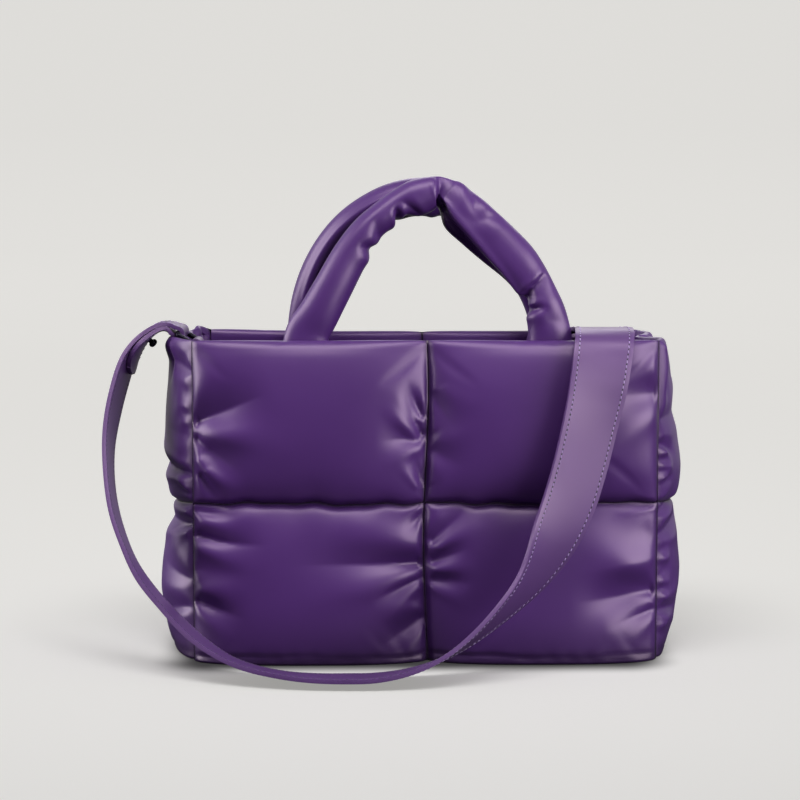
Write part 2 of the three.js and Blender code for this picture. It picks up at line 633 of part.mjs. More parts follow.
function handles() {
  const group = new THREE.Group();
  group.add(handle('front_handle', FRONT_HANDLE));
  group.add(handle('rear_handle', rearHandleRows()));
  return group;
}

function strapAndHardware() {
  const group = new THREE.Group();
  const stud = studPlace();
  group.add(shoulderStrap(stud));
  stud.add(named('strap_stud', studGeometry(), darkMetal));
  group.add(stud);

  const rightRing = ring('right_ring');
  rightRing.position.set(RIGHT_BAR.x, RIGHT_BAR.y + RING_HALF_BREADTH, RIGHT_BAR.z);
  group.add(rightRing);
  const rightSide = { x: RIGHT_BAR.x + RING_HALF_LENGTH, y: rightRing.position.y, z: RIGHT_BAR.z };
  group.add(ringTab('right_ring_tab', RIGHT_SIDE, rightSide, RIGHT_TAB));

  const slope = degToRad(LEFT_RING_SLOPE);
  const leftRing = ring('left_ring');
  const breadth = new THREE.Vector3(Math.cos(slope), 0, -Math.sin(slope));
  leftRing.position.copy(pointOf(LEFT_BAR)).addScaledVector(breadth, RING_HALF_BREADTH);
  leftRing.rotation.set(0, slope, Math.PI / 2);
  group.add(leftRing);
  const farBar = pointOf(LEFT_BAR).addScaledVector(breadth, 2 * RING_HALF_BREADTH);
  group.add(ringTab('left_ring_tab', LEFT_SIDE, farBar, LEFT_TAB));
  return group;
}

const handbag = new THREE.Group();
handbag.name = 'quilted_handbag';
handbag.add(body(), handles(), strapAndHardware());

export default handbag;
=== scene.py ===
# The quilted handbag's looks: stuffed leather walls and handles, a stitched strap and dark hardware,
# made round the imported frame. Sizes are metres unless a name ends in _MM or a table says millimetres.
import math
from collections import namedtuple

import bpy
import numpy as np
from mathutils import Matrix, Vector


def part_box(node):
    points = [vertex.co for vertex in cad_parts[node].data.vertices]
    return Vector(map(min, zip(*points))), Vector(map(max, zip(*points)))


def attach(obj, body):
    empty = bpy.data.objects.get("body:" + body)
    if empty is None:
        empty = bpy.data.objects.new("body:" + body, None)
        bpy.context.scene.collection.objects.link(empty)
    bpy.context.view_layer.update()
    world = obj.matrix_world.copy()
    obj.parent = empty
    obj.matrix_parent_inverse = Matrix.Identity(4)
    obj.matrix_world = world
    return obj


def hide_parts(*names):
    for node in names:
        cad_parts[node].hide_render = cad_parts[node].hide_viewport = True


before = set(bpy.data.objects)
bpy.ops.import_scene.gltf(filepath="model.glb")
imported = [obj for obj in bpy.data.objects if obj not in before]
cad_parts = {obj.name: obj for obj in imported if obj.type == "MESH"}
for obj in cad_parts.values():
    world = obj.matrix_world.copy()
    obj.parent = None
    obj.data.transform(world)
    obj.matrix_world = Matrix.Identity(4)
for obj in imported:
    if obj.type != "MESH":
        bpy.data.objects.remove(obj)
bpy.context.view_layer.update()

bl_info = {
    "name": "Quilted handbag",
    "version": (1, 0, 0),
    "blender": (4, 5, 0),
    "location": "3D View > Sidebar > Handbag",
    "description": "Dresses the handbag's frame in stuffed and stitched leather",
    "category": "Object",
}

MM = 0.001
BODY = "root"
FRONT_LOW, FRONT_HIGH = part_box("front_panel")

# Creases of a wall, millimetres and degrees: each starts at (a, z) on a seam, runs at angle for
# length and dies out. a is measured across the wall from its middle, z from the floor. A sharp
# crease is a narrow cut, a soft one a broad valley, and a depth below 0 makes a ridge; bend curves it.
CREASE_COLUMNS = ("a", "z", "angle", "length", "width", "depth", "bend", "sharp")
FRONT_CREASES = (
    (-171, 177, 23, 66, 14, 7.5, 0.0, 0.55),
    (-171, 168, -38, 50, 9, 4.5, 0.2, 0.5),
    (-169, 152, -50, 46, 7, -2.5, 0.0, 0.3),
    (-166, 141, -54, 34, 5, 4.0, 0.0, 0.5),
    (-2, 181, 117, 34, 5, 4.0, -0.5, 0.6),
    (-2, 168, 119, 40, 6, 5.0, -0.5, 0.6),
    (-2, 166, 177, 36, 8, 3.5, 0.3, 0.3),
    (-2, 131, 110, 30, 5, 3.5, -0.3, 0.6),
    (3, 200, -58, 40, 8, 2.0, 0.3, 0.3),
    (3, 158, -25, 34, 9, 2.0, 0.0, 0.2),
    (171, 199, 183, 66, 18, 5.5, 0.0, 0.15),
    (170, 236, 225, 32, 8, 1.5, 0.0, 0.2),
    (-171, 113, -10, 40, 5, 2.5, 0.4, 0.5),
    (-171, 95, -16, 60, 8, 6.0, 1.4, 0.8),
    (-171, 70, -4, 60, 12, 2.0, 0.0, 0.1),
    (-171, 46, -20, 44, 8, 5.0, 0.3, 0.7),
    (-1, 112, 225, 24, 5, 2.5, 0.0, 0.5),
    (-1, 73.5, 179, 106, 12, 7.0, 0.1, 0.5),
    (-1, 64, 201, 44, 6, 4.0, 0.2, 0.6),
    (-1, 34, 212, 48, 9, 3.5, 0.0, 0.3),
    (3, 89, 44, 46, 7, 4.5, 0.1, 0.5),
    (3, 75, 20, 36, 7, 4.5, 0.1, 0.5),
    (3, 62, -3, 36, 7, 3.5, 0.0, 0.4),
    (171, 116, 180, 36, 3, 2.5, 0.0, 0.6),
    (171, 78, 190, 76, 15, -3.5, 0.0, 0.2),
    (170, 52, 184, 66, 13, 6.0, 0.2, 0.35),
    (170, 39, 197, 42, 8, 4.5, 0.2, 0.4),
)
BACK_CREASES = (
    (-168, 178, -18, 66, 9, 5.0, 0.3, 0.4),
    (-168, 170, 24, 56, 9, 4.0, 0.0, 0.3),
    (-2, 160, 150, 44, 7, 4.0, 0.4, 0.5),
    (2, 158, 58, 50, 7, 4.5, -0.4, 0.5),
    (2, 140, -30, 34, 7, 3.0, 0.0, 0.4),
    (168, 171, 202, 62, 9, 5.0, 0.3, 0.4),
    (168, 163, 160, 50, 8, 4.0, 0.0, 0.4),
    (-168, 66, 16, 66, 8, 5.0, -0.4, 0.5),
    (-168, 44, -20, 50, 8, 4.0, 0.0, 0.4),
    (-2, 76, 170, 76, 8, 5.0, 0.2, 0.5),
    (-2, 52, 222, 50, 9, 4.0, 0.0, 0.3),
    (2, 62, -22, 60, 8, 4.5, 0.3, 0.4),
    (2, 88, 34, 44, 7, 4.0, 0.0, 0.4),
    (168, 82, 168, 62, 8, 5.0, 0.3, 0.5),
    (168, 46, 210, 52, 8, 4.0, 0.0, 0.4),
)
LEFT_CREASES = (
    (-68, 214, 14, 46, 7, 3.0, 0.0, 0.5),
    (-69, 206, -8, 22, 6, -0.9, 0.0, 0.2),
    (-69, 188, 10, 24, 6, -1.5, 0.0, 0.2),
    (-69, 177, -4, 16, 4, -1.0, 0.0, 0.2),
    (-68, 167, 4, 44, 9, 1.2, 0.3, 0.4),
    (-68, 139, 2, 120, 6, 4.5, 0.0, 0.6),
    (-69, 127, 24, 22, 4, -2.5, 0.0, 0.3),
    (-68, 104, -24, 40, 6, 4.0, 0.0, 0.6),
    (-68, 101, -2, 120, 7, 3.5, 0.0, 0.5),
    (-68, 60, 10, 48, 8, 2.2, 0.3, 0.4),
    (-68, 40, -12, 70, 8, 3.0, 0.0, 0.4),
    (-30, 236, -84, 40, 7, 4.0, 0.0, 0.5),
    (34, 236, -98, 46, 7, 4.5, 0.0, 0.5),
    (68, 176, 190, 66, 8, 4.5, 0.0, 0.5),
    (68, 70, 172, 66, 8, 4.5, 0.0, 0.5),
    (68, 44, 196, 48, 7, 4.0, 0.0, 0.5),
)
RIGHT_CREASES = (
    (-63, 236, -91, 66, 5, -4.0, 0.0, 0.2),
    (-68, 179, 3, 110, 9, 1.8, 0.0, 0.4),
    (-69, 162, -24, 30, 4.5, 3.5, 0.0, 0.6),
    (-69, 153, 4, 18, 4, -2.8, 0.0, 0.3),
    (-69, 144, -4, 20, 4, -2.8, 0.0, 0.3),
    (-69, 133, 30, 22, 4, -2.8, 0.0, 0.3),
    (-68, 108, 24, 36, 5, 4.0, 0.0, 0.6),
    (-68, 92, 12, 70, 7, 4.0, 0.0, 0.5),
    (-69, 74, 0, 18, 4.5, -3.0, 0.0, 0.3),
    (-69, 57, -6, 18, 4.5, -3.0, 0.0, 0.3),
    (-69, 45, 6, 18, 4.5, -3.0, 0.0, 0.3),
    (-68, 36, -4, 60, 6, 4.0, 0.0, 0.6),
    (-69, 24, 0, 20, 5, -2.5, 0.0, 0.3),
    (10, 236, -92, 60, 8, 5.0, 0.0, 0.5),
    (68, 190, 176, 68, 8, 4.5, 0.0, 0.5),
    (68, 62, 186, 66, 8, 4.5, 0.0, 0.5),
)

# How far a gusset bows out of its corner seams, millimetres by height (0 floor, 1 rim)
LEFT_BOWS = (
    (0, 11), (0.05, 15), (0.1, 18), (0.19, 20.8), (0.29, 20), (0.39, 18), (0.44, 16), (0.5, 18),
    (0.6, 16.7), (0.71, 16.2), (0.78, 15.3), (0.89, 13.3), (0.955, 12.8), (1, 20),
)
RIGHT_BOWS = (
    (0, 4), (0.03, 7), (0.13, 14), (0.27, 17.3), (0.38, 16.2), (0.44, 17), (0.5, 19), (0.61, 17.5),
    (0.66, 15), (0.75, 9.5), (0.9, 9), (1, 10),
)

# The front handle's sections, millimetres: middle, reach to the arch's outside and inside, half depth
FRONT_HANDLE_ROWS = (
    (-89, -65.6, 205, 16, 16, 3.5),
    (-89, -62.4, 222, 17, 17, 6),
    (-87.5, -57, 241, 16.5, 16.5, 10),
    (-79, -54, 258, 14.5, 16, 14.5),
    (-69.5, -51, 277, 13, 16, 16),
    (-57, -47, 301, 11.5, 15.5, 16),
    (-44, -44, 319, 10.5, 12.5, 16),
    (-31, -42, 331, 9.5, 12.5, 15),
    (-20, -41, 338, 10.5, 10, 14),
    (-8, -40, 342.5, 13, 14.5, 15),
    (3, -40, 345, 13, 13, 14),
    (9, -40, 346, 12.5, 9, 12),
    (15, -40, 342, 16, 9, 12),
    (25, -41, 334, 17, 17, 13),
    (40, -43, 320, 18, 17.5, 14),
    (54, -45, 307, 18, 17, 14.5),
    (67, -48, 294, 17.5, 15.5, 14.5),
    (77.5, -50, 281, 15.5, 14, 14),
    (84.5, -52, 270, 14, 9.5, 13),
    (89, -54, 258, 15, 14, 13),
    (92.5, -57, 241, 16, 16, 10),
    (94, -62.4, 222, 17, 17, 6),
    (94, -65.6, 205, 16, 16, 3.5),
)
# The rear handle's sections: a half ellipse whose right leg stands behind the front handle's
REAR_HANDLE_ROWS = (
    (-90, 65.6, 205, 16, 16, 3.5),
    (-90, 62.4, 222, 17, 17, 6),
    (-90, 57, 241, 16, 15.5, 10),
    (-87.7, 51.9, 263.9, 14.5, 15.5, 12.9),
    (-81.1, 47, 285.7, 13.5, 15.5, 15.7),
    (-70.4, 42.7, 305.2, 13, 15.5, 16),
    (-56.1, 39, 321.5, 13, 15.5, 16),
    (-39, 36.3, 333.8, 13, 15.5, 16),
    (-20, 34.6, 341.4, 14, 15.5, 16),
    (0, 34, 344, 14.5, 15.5, 16),
    (16.1, 34.6, 341.4, 14, 15, 16),
    (32.1, 36.3, 333.8, 14, 14, 16),
    (47.6, 39, 321.5, 14, 14, 16),
    (62.5, 42.7, 305.2, 14, 13.5, 16),
    (78, 47, 285.7, 14, 12, 15),
    (91, 51.9, 263.9, 13, 11.5, 12.9),
    (98, 57, 241, 13, 12, 10),
    (97, 62.4, 222, 14, 14, 6),
    (96, 65.6, 205, 14, 14, 3.5),
)
# A handle's creases run round the tube: section number, middle angle (0 outside, 180 inside, 270 front),
# half spread in degrees, width in sections, depth in millimetres, skew in sections per turn, and
# lean: 0 for an even cut, 1 where the earlier part overhangs the later one.
FRONT_HANDLE_CREASES = (
    (5.5, 195, 62, 0.20, 4.0, -0.8, 0),
    (6.2, 235, 40, 0.30, 1.6, 2.0, 0),
    (7.45, 200, 66, 0.22, 4.6, 1.4, 0),
    (8.6, 236, 40, 0.35, 1.8, -4.0, 0),
    (11.2, 258, 88, 0.65, 8.0, -0.9, 1),
    (13.2, 322, 40, 0.30, 2.4, -3.0, 0),
    (14.0, 300, 36, 0.35, 1.6, 3.0, 0),
    (17.5, 240, 85, 0.34, 4.5, -1.2, 1),
    (18.7, 214, 60, 0.22, 3.6, 0.9, 0),
    (19.6, 300, 40, 0.5, 1.2, 2.0, 0),
)
REAR_HANDLE_CREASES = (
    (7.4, 190, 70, 0.3, 2.5, -1.0, 0),
    (10.2, 175, 70, 0.3, 3.0, -0.8, 0),
    (11.6, 185, 80, 0.35, 3.5, 1.0, 1),
    (13.0, 180, 70, 0.35, 3.0, -1.0, 0),
)
# A handle's lengthwise seam: first and last section, its angle at each, and how proud it stands
HandleSeam = namedtuple("HandleSeam", "first last first_angle last_angle proud")
FRONT_HANDLE_SEAM = HandleSeam(11.5, 18.0, 260, 200, 2.6)
REAR_HANDLE_SEAM = HandleSeam(2.5, 9.5, 286, 280, 1.6)

# The strap's run, millimetres: its middle line and the way its outer face looks
STRAP_RUN = (
    (133.3, -14, 242.6, 0, 0, 1),
    (132.8, -40, 244.4, 0, 0, 1),
    (132, -62, 245.2, 0, -0.1, 1),
    (131, -76, 243.8, 0, -0.3, 0.95),
    (129.5, -88.5, 238, 0.05, -0.7, 0.7),
    (127.5, -95.5, 227, 0.1, -0.95, 0.3),
    (125, -100, 212, 0.16, -0.98, 0.1),
    (121.5, -102.5, 194, 0.26, -0.96, 0.04),
    (117.5, -104.5, 177, 0.33, -0.94, 0.03),
    (111.5, -107.5, 152.5, 0.36, -0.93, 0.0),
    (103, -112, 125, 0.35, -0.92, -0.12),
    (93, -117.5, 102, 0.36, -0.87, -0.3),
    (81, -124, 80, 0.5, -0.7, -0.45),
    (69, -129.5, 64, 0.5, -0.56, -0.6),
    (51, -136.5, 46.5, 0.45, -0.44, -0.74),
    (30, -143.5, 29.5, 0.36, -0.34, -0.86),
    (8, -149, 16.5, 0.24, -0.24, -0.94),
    (-13, -152, 9, 0.1, -0.17, -0.98),
    (-36, -153.5, 5, 0.03, -0.12, -0.99),
    (-59, -153.5, 4.3, 0, -0.11, -0.99),
    (-84, -151.5, 4.6, -0.03, -0.13, -0.99),
    (-107, -147, 6.4, -0.1, -0.16, -0.98),
    (-128, -141, 10, -0.24, -0.15, -0.95),
    (-147, -134, 16.5, -0.41, -0.14, -0.9),
    (-165.7, -124.5, 27.5, -0.57, -0.09, -0.81),
    (-184.4, -113, 43, -0.71, -0.06, -0.69),
    (-203.5, -100, 62, -0.84, -0.02, -0.55),
    (-217.8, -87, 83, -0.95, -0.01, -0.32),
    (-228, -74, 105.7, -0.99, 0.04, -0.15),
    (-234.7, -58.5, 133, -1, 0.06, 0.01),
    (-236.7, -43.5, 161.6, -1, 0.09, 0.1),
    (-232.7, -30, 190.5, -0.98, 0.14, 0.18),
    (-225.6, -18, 216, -0.93, 0.16, 0.33),
    (-216.3, -9, 233, -0.77, 0.08, 0.63),
    (-206, -3.5, 243.3, -0.5, 0, 0.86),
    (-195.7, -0.5, 246.4, -0.05, 0, 1),
)
RIGHT_RETURN = ((132.8, -30, 240.2, 0, 0, -1), (133, -13, 236.4, 0, 0.2, -1))
LEFT_RETURN = (
    (-193.2, -0.4, 240.2, -0.15, 0, -1),
    (-198.8, -1.4, 242.2, 0.2, 0, -0.98),
    (-204.4, -3.3, 240.4, 0.5, 0, -0.86),
    (-213.7, -9.2, 230.8, 0.77, -0.05, -0.63),
    (-222.4, -18.4, 214.8, 0.93, -0.14, -0.33),
    (-223.3, -19.9, 211.7, 0.95, -0.14, -0.28),
)

# The strap's line: points from row to row, rows of a turn round a ring's bar, and where the stud sits
STRAP_STEPS = 8
BAR_TURN_ROWS = 7
BAR_GAP_MM = 0.6
RIGHT_BAR = Vector((133.5, 0, 238)) * MM
LEFT_BAR = Vector((-187, 0, 240)) * MM
STUD_ROW = len(RIGHT_RETURN) + BAR_TURN_ROWS + len(STRAP_RUN) - 2.6
STUD_STEP = round(STRAP_STEPS * STUD_ROW)
STRAP_COLUMNS = 8
STRAP_EDGE = 1.1 * MM
STRAP_ROUNDING = 17 * MM

# What a strap's edge is sewn with, millimetres: the face it lies on, its shift in stitches, half
# length, breadth and height, how far it stands off the face, and its tone from 0, near black as painted
# shade for a needle hole, to 1 for bright thread
StitchKind = namedtuple("StitchKind", "face shift size lift tone")
STITCH_KINDS = (
    StitchKind(1, 0, (1.1, 0.42, 0.34), 0.08, 1.0),
    # A dark bead sunk into the outer face between stitches: painted shade standing for a needle hole
    StitchKind(1, 0.5, (0.75, 0.6, 0.2), -0.08, 0.0),
    StitchKind(-1, 0, (1.15, 0.4, 0.3), 0.02, 0.2),
)
STITCH_SLANT = math.radians(9)
UNSEWN_END = 18 * MM

# A ring's half length, half breadth and squareness, and the round ring that it is stretched from
RING_LONG_MM = 26
RING_SHORT_MM = 8
RING_SQUARENESS = 0.25
ROUND_RING_MM = 10
LEFT_RING_SLOPE = math.radians(32)

# A ring's tab, millimetres: its width and the heights of its sewn foot and of its neck under the ring
TabSize = namedtuple("TabSize", "width foot neck")
RIGHT_TAB = TabSize(10, 202, 226)
LEFT_TAB = TabSize(30, 196, 220)
TAB_THICKNESS_MM = 1.8
TAB_CLEARANCE_MM = 0.3
TAB_COLUMNS = 4
TAB_STEPS = 4
TAB_EDGE = 0.4 * MM

# The stud's half outline, millimetres from the strap's middle: radius, height towards the bag
STUD_OUTLINE = (
    (0, -2.9), (3.2, -2.75), (4.2, -2.4), (4.4, -1.8), (1.9, -1.8), (1.9, 6.2), (3.0, 6.7),
    (3.5, 8.2), (2.9, 9.9), (1.4, 10.6), (0, 10.7),
)

# Walls: mesh rows up a wall and over its rim's roll, planes of the sewn edges, and cloth sizes
WALL_ROWS = 70
ROLL_ROWS = 8
ROLL_START = WALL_ROWS / (WALL_ROWS + ROLL_ROWS)
PANEL_COLUMNS = 104
GUSSET_COLUMNS = 46
PANEL_PLANE = 72 * MM
GUSSET_PLANE = 170 * MM
GUSSET_HALF_SPAN = 69.7 * MM
HALF_WALL = 2 * MM
RIM_EDGE = 231 * MM
RIM_RISE = 6 * MM
FLOOR_GAP = 0.4 * MM
LINING_PUFF = 3 * MM
FLOOR_SAG = 5 * MM
PANEL_SWING = 5 * MM
GATHER_TURNS = 38
# Where the lower cell's profile begins at the floor, and where the upper one's stops at the rim
CELL_AT_FLOOR = 0.2
CELL_AT_RIM = 0.93

# The stuffing: the cloth's settings, frames, the share blown up before them, and the most it stands proud
CLOTH_SETTINGS = {
    "quality": 6,
    "mass": 0.02,
    "tension_stiffness": 30,
    "compression_stiffness": 30,
    "shear_stiffness": 15,
    "bending_stiffness": 6,
    "tension_damping": 15,
    "compression_damping": 15,
    "shear_damping": 10,
    "bending_damping": 1,
    "air_damping": 3,
    "pin_stiffness": 1,
    "use_pressure": True,
    "uniform_pressure_force": 60,
}
STUFFING_FRAMES = 24
STUFFING_START = 0.72
MOST_PROUD = 3 * MM

# Seams: their grooves, how far the shade painted into them reaches, where creases begin and are full
# beside them, and how far creases run onto the rim's roll
GROOVE_DEPTH = 1.8 * MM
GROOVE_WIDTH = 1.9 * MM
SEAM_PAINTED_SHADE = 1.5 * MM
CREASES_BEGIN = 0.3 * MM
CREASES_FULL = 4 * MM
CREASED_ROLL = 0.06
# The hem round the foot, millimetres, and the shade painted on the walls towards the floor: a share,
# and the heights where it fades and ends
HEM_HEIGHT_MM = 6
HEM_GROOVE_MM = 1.5
HEM_PUCKER_MM = 0.25
HEM_PUCKER_REACH_MM = 5
# Painted shade: the walls' colour darkens towards the floor
HEM_PAINTED_SHADES = ((0.3, 3, 14), (0.4, 3, 50))

HANDLE_STEPS = 8
HANDLE_SIDES = 48
# How dark, at most, the shade painted along a handle's underside below its lengthwise seam is
HANDLE_PAINTED_SHADE = 0.85
BASE_THICKNESS = 5 * MM
BASE_EDGE = 1.2 * MM
BASE_GAP = 0.3 * MM

# The stage: camera, lamps, the floor with its rise behind the bag, and the shadow painted on it round the
# bag's foot
CAMERA_PLACE = Vector((-45.5, -1590.3, 334.1)) * MM
CAMERA_PITCH = math.radians(5.27)
CAMERA_YAW = math.radians(1.0)
CAMERA_LENS = 93.24
CAMERA_SENSOR = 36
Lamp = namedtuple("Lamp", "name place aim width height brightness")
KEY_LAMP = Lamp("Overhead", (-0.1, -0.8, 1.75), (0, 0, 0.1), 1.5, 0.8, 6.2)
FILL_LAMPS = (
    Lamp("Left", (-1.85, 0.0, 0.7), (0, 0, 0.15), 1.6, 1.6, 5.2),
    Lamp("Right", (1.45, -1.1, 0.7), (0, 0, 0.15), 1.5, 1.5, 5.5),
    Lamp("Back", (0.3, 1.7, 1.2), (0, 0, 0.12), 1.2, 0.8, 2.5),
)
FLOOR_ROWS = 40
FLOOR_HALF_WIDTH = 6
FLOOR_NEAREST = -9
FLOOR_FRONT = -3.5
FLOOR_DEPTH = 6.75
FLOOR_FLAT_SHARE = 0.62
FLOOR_BEND = (0.55, 0.85)
FLOOR_RISE = 4.5
# The shadow painted on the floor round the bag's foot: its box's shift and half size, and where it fades
# out
FOOT_SHIFT = (6 * MM, 16 * MM, 0)
FOOT_REACH = (150 * MM, 60 * MM, 10)
FOOT_PAINTED_SHADOW = (10 * MM, 52 * MM)
GLOW_MIDDLE = -0.45
GLOW_FALL = 0.477
GLOW_BEHIND = (0.5, 1.5)
BLACK = (0, 0, 0, 1)
WARM_WHITE = (1.0, 0.985, 0.95, 1)
ROOM_WHITE = (1.0, 0.99, 0.97, 1)


class HandbagSizes(bpy.types.PropertyGroup):
    """The sizes that a maker would change."""

    puff: bpy.props.FloatProperty(
        name="Panel puff", description="How far a front cell stands out of its seams",
        default=21 * MM, unit="LENGTH")
    gusset_puff: bpy.props.FloatProperty(
        name="Gusset puff", description="How far a side cell stands out of its seams",
        default=13 * MM, unit="LENGTH")
    seam_height: bpy.props.FloatProperty(
        name="Level seam", description="Height of the level quilting seam",
        default=118 * MM, unit="LENGTH")
    strap_width: bpy.props.FloatProperty(
        name="Strap width", description="Width of the shoulder strap", default=43 * MM, unit="LENGTH")
    strap_thickness: bpy.props.FloatProperty(
        name="Strap thickness", description="Thickness of the two-layer strap",
        default=3 * MM, unit="LENGTH")
    stitch_pitch: bpy.props.FloatProperty(
        name="Stitch pitch", description="Distance from one strap stitch to the next",
        default=3.7 * MM, unit="LENGTH")
    stitch_inset: bpy.props.FloatProperty(
        name="Stitch inset", description="Distance of the stitching from the strap's edge",
        default=3.6 * MM, unit="LENGTH")
    ring_wire: bpy.props.FloatProperty(
        name="Ring wire", description="Radius of the rings' wire", default=2 * MM, unit="LENGTH")


class HandbagColours(bpy.types.PropertyGroup):
    """The colours of the leather, thread, metal and floor."""

    leather: bpy.props.FloatVectorProperty(
        name="Leather", description="Colour of the padded leather", subtype="COLOR", size=4,
        min=0, max=1, default=(0.061, 0.018, 0.13, 1))
    strap: bpy.props.FloatVectorProperty(
        name="Strap", description="Colour of the strap's leather", subtype="COLOR", size=4,
        min=0, max=1, default=(0.085, 0.037, 0.145, 1))
    thread: bpy.props.FloatVectorProperty(
        name="Thread", description="Colour of the strap's stitching", subtype="COLOR", size=4,
        min=0, max=1, default=(0.36, 0.26, 0.5, 1))
    metal: bpy.props.FloatVectorProperty(
        name="Metal", description="Colour of the rings and stud", subtype="COLOR", size=4,
        min=0, max=1, default=(0.012, 0.010, 0.018, 1))
    floor: bpy.props.FloatVectorProperty(
        name="Floor", description="Colour of the floor", subtype="COLOR", size=4,
        min=0, max=1, default=(0.58, 0.575, 0.565, 1))


# Mesh helpers


def named_primitive(name):
    """The primitive just added, under its name."""
    piece = bpy.context.object
    piece.name = name
    piece.data.name = name
    return piece


def start_grid(name, columns, rows):
    """A flat grid from -1 to 1 each way, selected alone."""
    bpy.ops.object.select_all(action="DESELECT")
    bpy.ops.mesh.primitive_grid_add(x_subdivisions=columns, y_subdivisions=rows, size=2)
    return named_primitive(name)


def start_ball(name, segments, rings):
    """A ball of radius one, selected alone."""
    bpy.ops.object.select_all(action="DESELECT")
    bpy.ops.mesh.primitive_uv_sphere_add(segments=segments, ring_count=rings, radius=1)
    return named_primitive(name)


def corners(piece):
    """The mesh's corners as an array of points."""
    flat = np.empty(len(piece.data.vertices) * 3)
    piece.data.vertices.foreach_get("co", flat)
    return flat.reshape(-1, 3)


def set_corners(piece, points):
    """Moves the mesh's corners to the given points."""
    piece.data.vertices.foreach_set("co", np.ascontiguousarray(points, dtype=float).ravel())
    piece.data.update()


def note(piece, name, values):
    """Keeps a number at each corner under a name."""
    attribute = piece.data.attributes.new(name, "FLOAT", "POINT")
    attribute.data.foreach_set("value", np.ascontiguousarray(values, dtype=np.float32))


def noted(piece, name):
    """The numbers kept at the corners under a name."""
    values = np.empty(len(piece.data.vertices), dtype=np.float32)
    piece.data.attributes[name].data.foreach_get("value", values)
    return values


def only(piece):
    """Makes one piece the selected and active one."""
    bpy.ops.object.select_all(action="DESELECT")
    piece.select_set(True)
    bpy.context.view_layer.objects.active = piece


def apply_modifier(piece, kind, **values):
    """Adds a modifier with the given values and applies it."""
    only(piece)
    modifier = piece.modifiers.new(kind.lower(), kind)
    for key, value in values.items():
        setattr(modifier, key, value)
    bpy.ops.object.modifier_apply(modifier=modifier.name)


def refine(piece):
    """Applies one level of Subdivision Surface."""
    apply_modifier(piece, "SUBSURF", levels=1, render_levels=1, boundary_smooth="PRESERVE_CORNERS")


def soften(piece, width):
    """Rounds a piece's sharp edges."""
    apply_modifier(piece, "BEVEL", width=width, segments=3, limit_method="ANGLE",
                   angle_limit=math.radians(50))


def select_open_edges(piece):
    """Goes into edit mode with the mesh's open edges selected."""
    only(piece)
    bpy.ops.object.mode_set(mode="EDIT")
    bpy.ops.mesh.select_mode(type="EDGE")
    bpy.ops.mesh.select_all(action="DESELECT")
    bpy.ops.mesh.select_non_manifold(extend=False, use_wire=False, use_multi_face=False,
                                     use_non_contiguous=False, use_verts=False)


def weld(piece, distance=0.001 * MM):
    """Merges corners that lie together and turns the faces outwards."""
    only(piece)
    bpy.ops.object.mode_set(mode="EDIT")
    bpy.ops.mesh.select_all(action="SELECT")
    bpy.ops.mesh.remove_doubles(threshold=distance)
    bpy.ops.mesh.normals_make_consistent(inside=False)
    bpy.ops.object.mode_set(mode="OBJECT")


def finish_piece(piece, finish, slot, *nodes):
    """Gives a piece its material, smooth faces and its place in the frame."""
    piece.data.materials.clear()
    piece.data.materials.append(bpy.data.materials[finish])
    only(piece)
    bpy.ops.object.shade_smooth()
    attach(piece, BODY)
    if nodes:
        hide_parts(*nodes)


def smoothstep(value, low, high):
    """0 below low, 1 above high and an eased step between."""
    share = np.clip((value - low) / (high - low), 0, 1)
    return share * share * (3 - 2 * share)


def unit(vectors):
    """Vectors at length one."""
    return vectors / np.linalg.norm(vectors, axis=1, keepdims=True)


# Stuffed walls


def puff(t, fullness=2.6):
    """A stuffed cell's profile between two seams, t from 0 to 1."""
    return np.clip(1 - np.abs(2 * t - 1) ** fullness, 0, 1) ** 0.6


def swell(t):
    """The lining side of a cell."""
    return np.sin(np.pi * t) ** 2


def across_cell(u):
    """Place in a cell for a wall with a middle seam, u from -1 to 1."""
    return np.where(u < 0, u + 1, u)


def up_cell(v):
    """Place in the lower or the upper cell: the stuffing sinks to the floor, and the
    upper one is open at the rim."""
    lower = np.clip(CELL_AT_FLOOR + (1 - CELL_AT_FLOOR) * 2 * v, 0, 1) ** 0.85
    upper = np.clip((2 * v - 1) * CELL_AT_RIM, 0, 1) ** 0.85
    return np.where(v < 0.5, lower, upper)


def wall_height(v, seam, edge):
    """Height of a place up a wall: the level seam is at v of a half."""
    lower = FLOOR_GAP + 2 * v * (seam - FLOOR_GAP)
    upper = seam + (2 * v - 1) * (edge - seam)
    return np.where(v < 0.5, lower, upper)


def rolled(outer, inner, edge, s):
    """Depth and height over the rim's padded roll, for the last part of s."""
    turn = np.clip((s - ROLL_START) / (1 - ROLL_START), 0, 1) * np.pi
    half = (outer - inner) / 2
    middle = (outer + inner) / 2
    rise = RIM_RISE + 0.4 * half
    return middle + half * np.cos(turn), edge + rise * np.sin(turn)


def crease_relief(creases, a, z):
    """Depth of a wall's creases at points a across and z up it, both in millimetres."""
    relief = np.zeros_like(a)
    for row in creases:
        crease = dict(zip(CREASE_COLUMNS, row))
        turn = math.radians(crease["angle"])
        da = a - crease["a"]
        dz = z - crease["z"]
        along = (da * math.cos(turn) + dz * math.sin(turn)) / crease["length"]
        sideways = (dz * math.cos(turn) - da * math.sin(turn)) / crease["width"]
        sideways = sideways - crease["bend"] * np.maximum(along, 0) ** 2
        steep = np.where(sideways * math.cos(turn) > 0, 0.85, 1.15)
        across = np.abs(sideways) * steep / (0.5 + np.clip(along, 0, 1))
        fade = smoothstep(along, -0.04, 0.06) * (1 - smoothstep(along, 0.25, 1.0))
        soft = np.exp(-across ** 2)
        cut = np.exp(-1.7 * across)
        valley = (1 - crease["sharp"]) * soft + crease["sharp"] * cut
        ridge = 0.3 * np.exp(-((across - 1.9) ** 2))
        relief += crease["depth"] * fade * (ridge - valley)
    return relief * MM


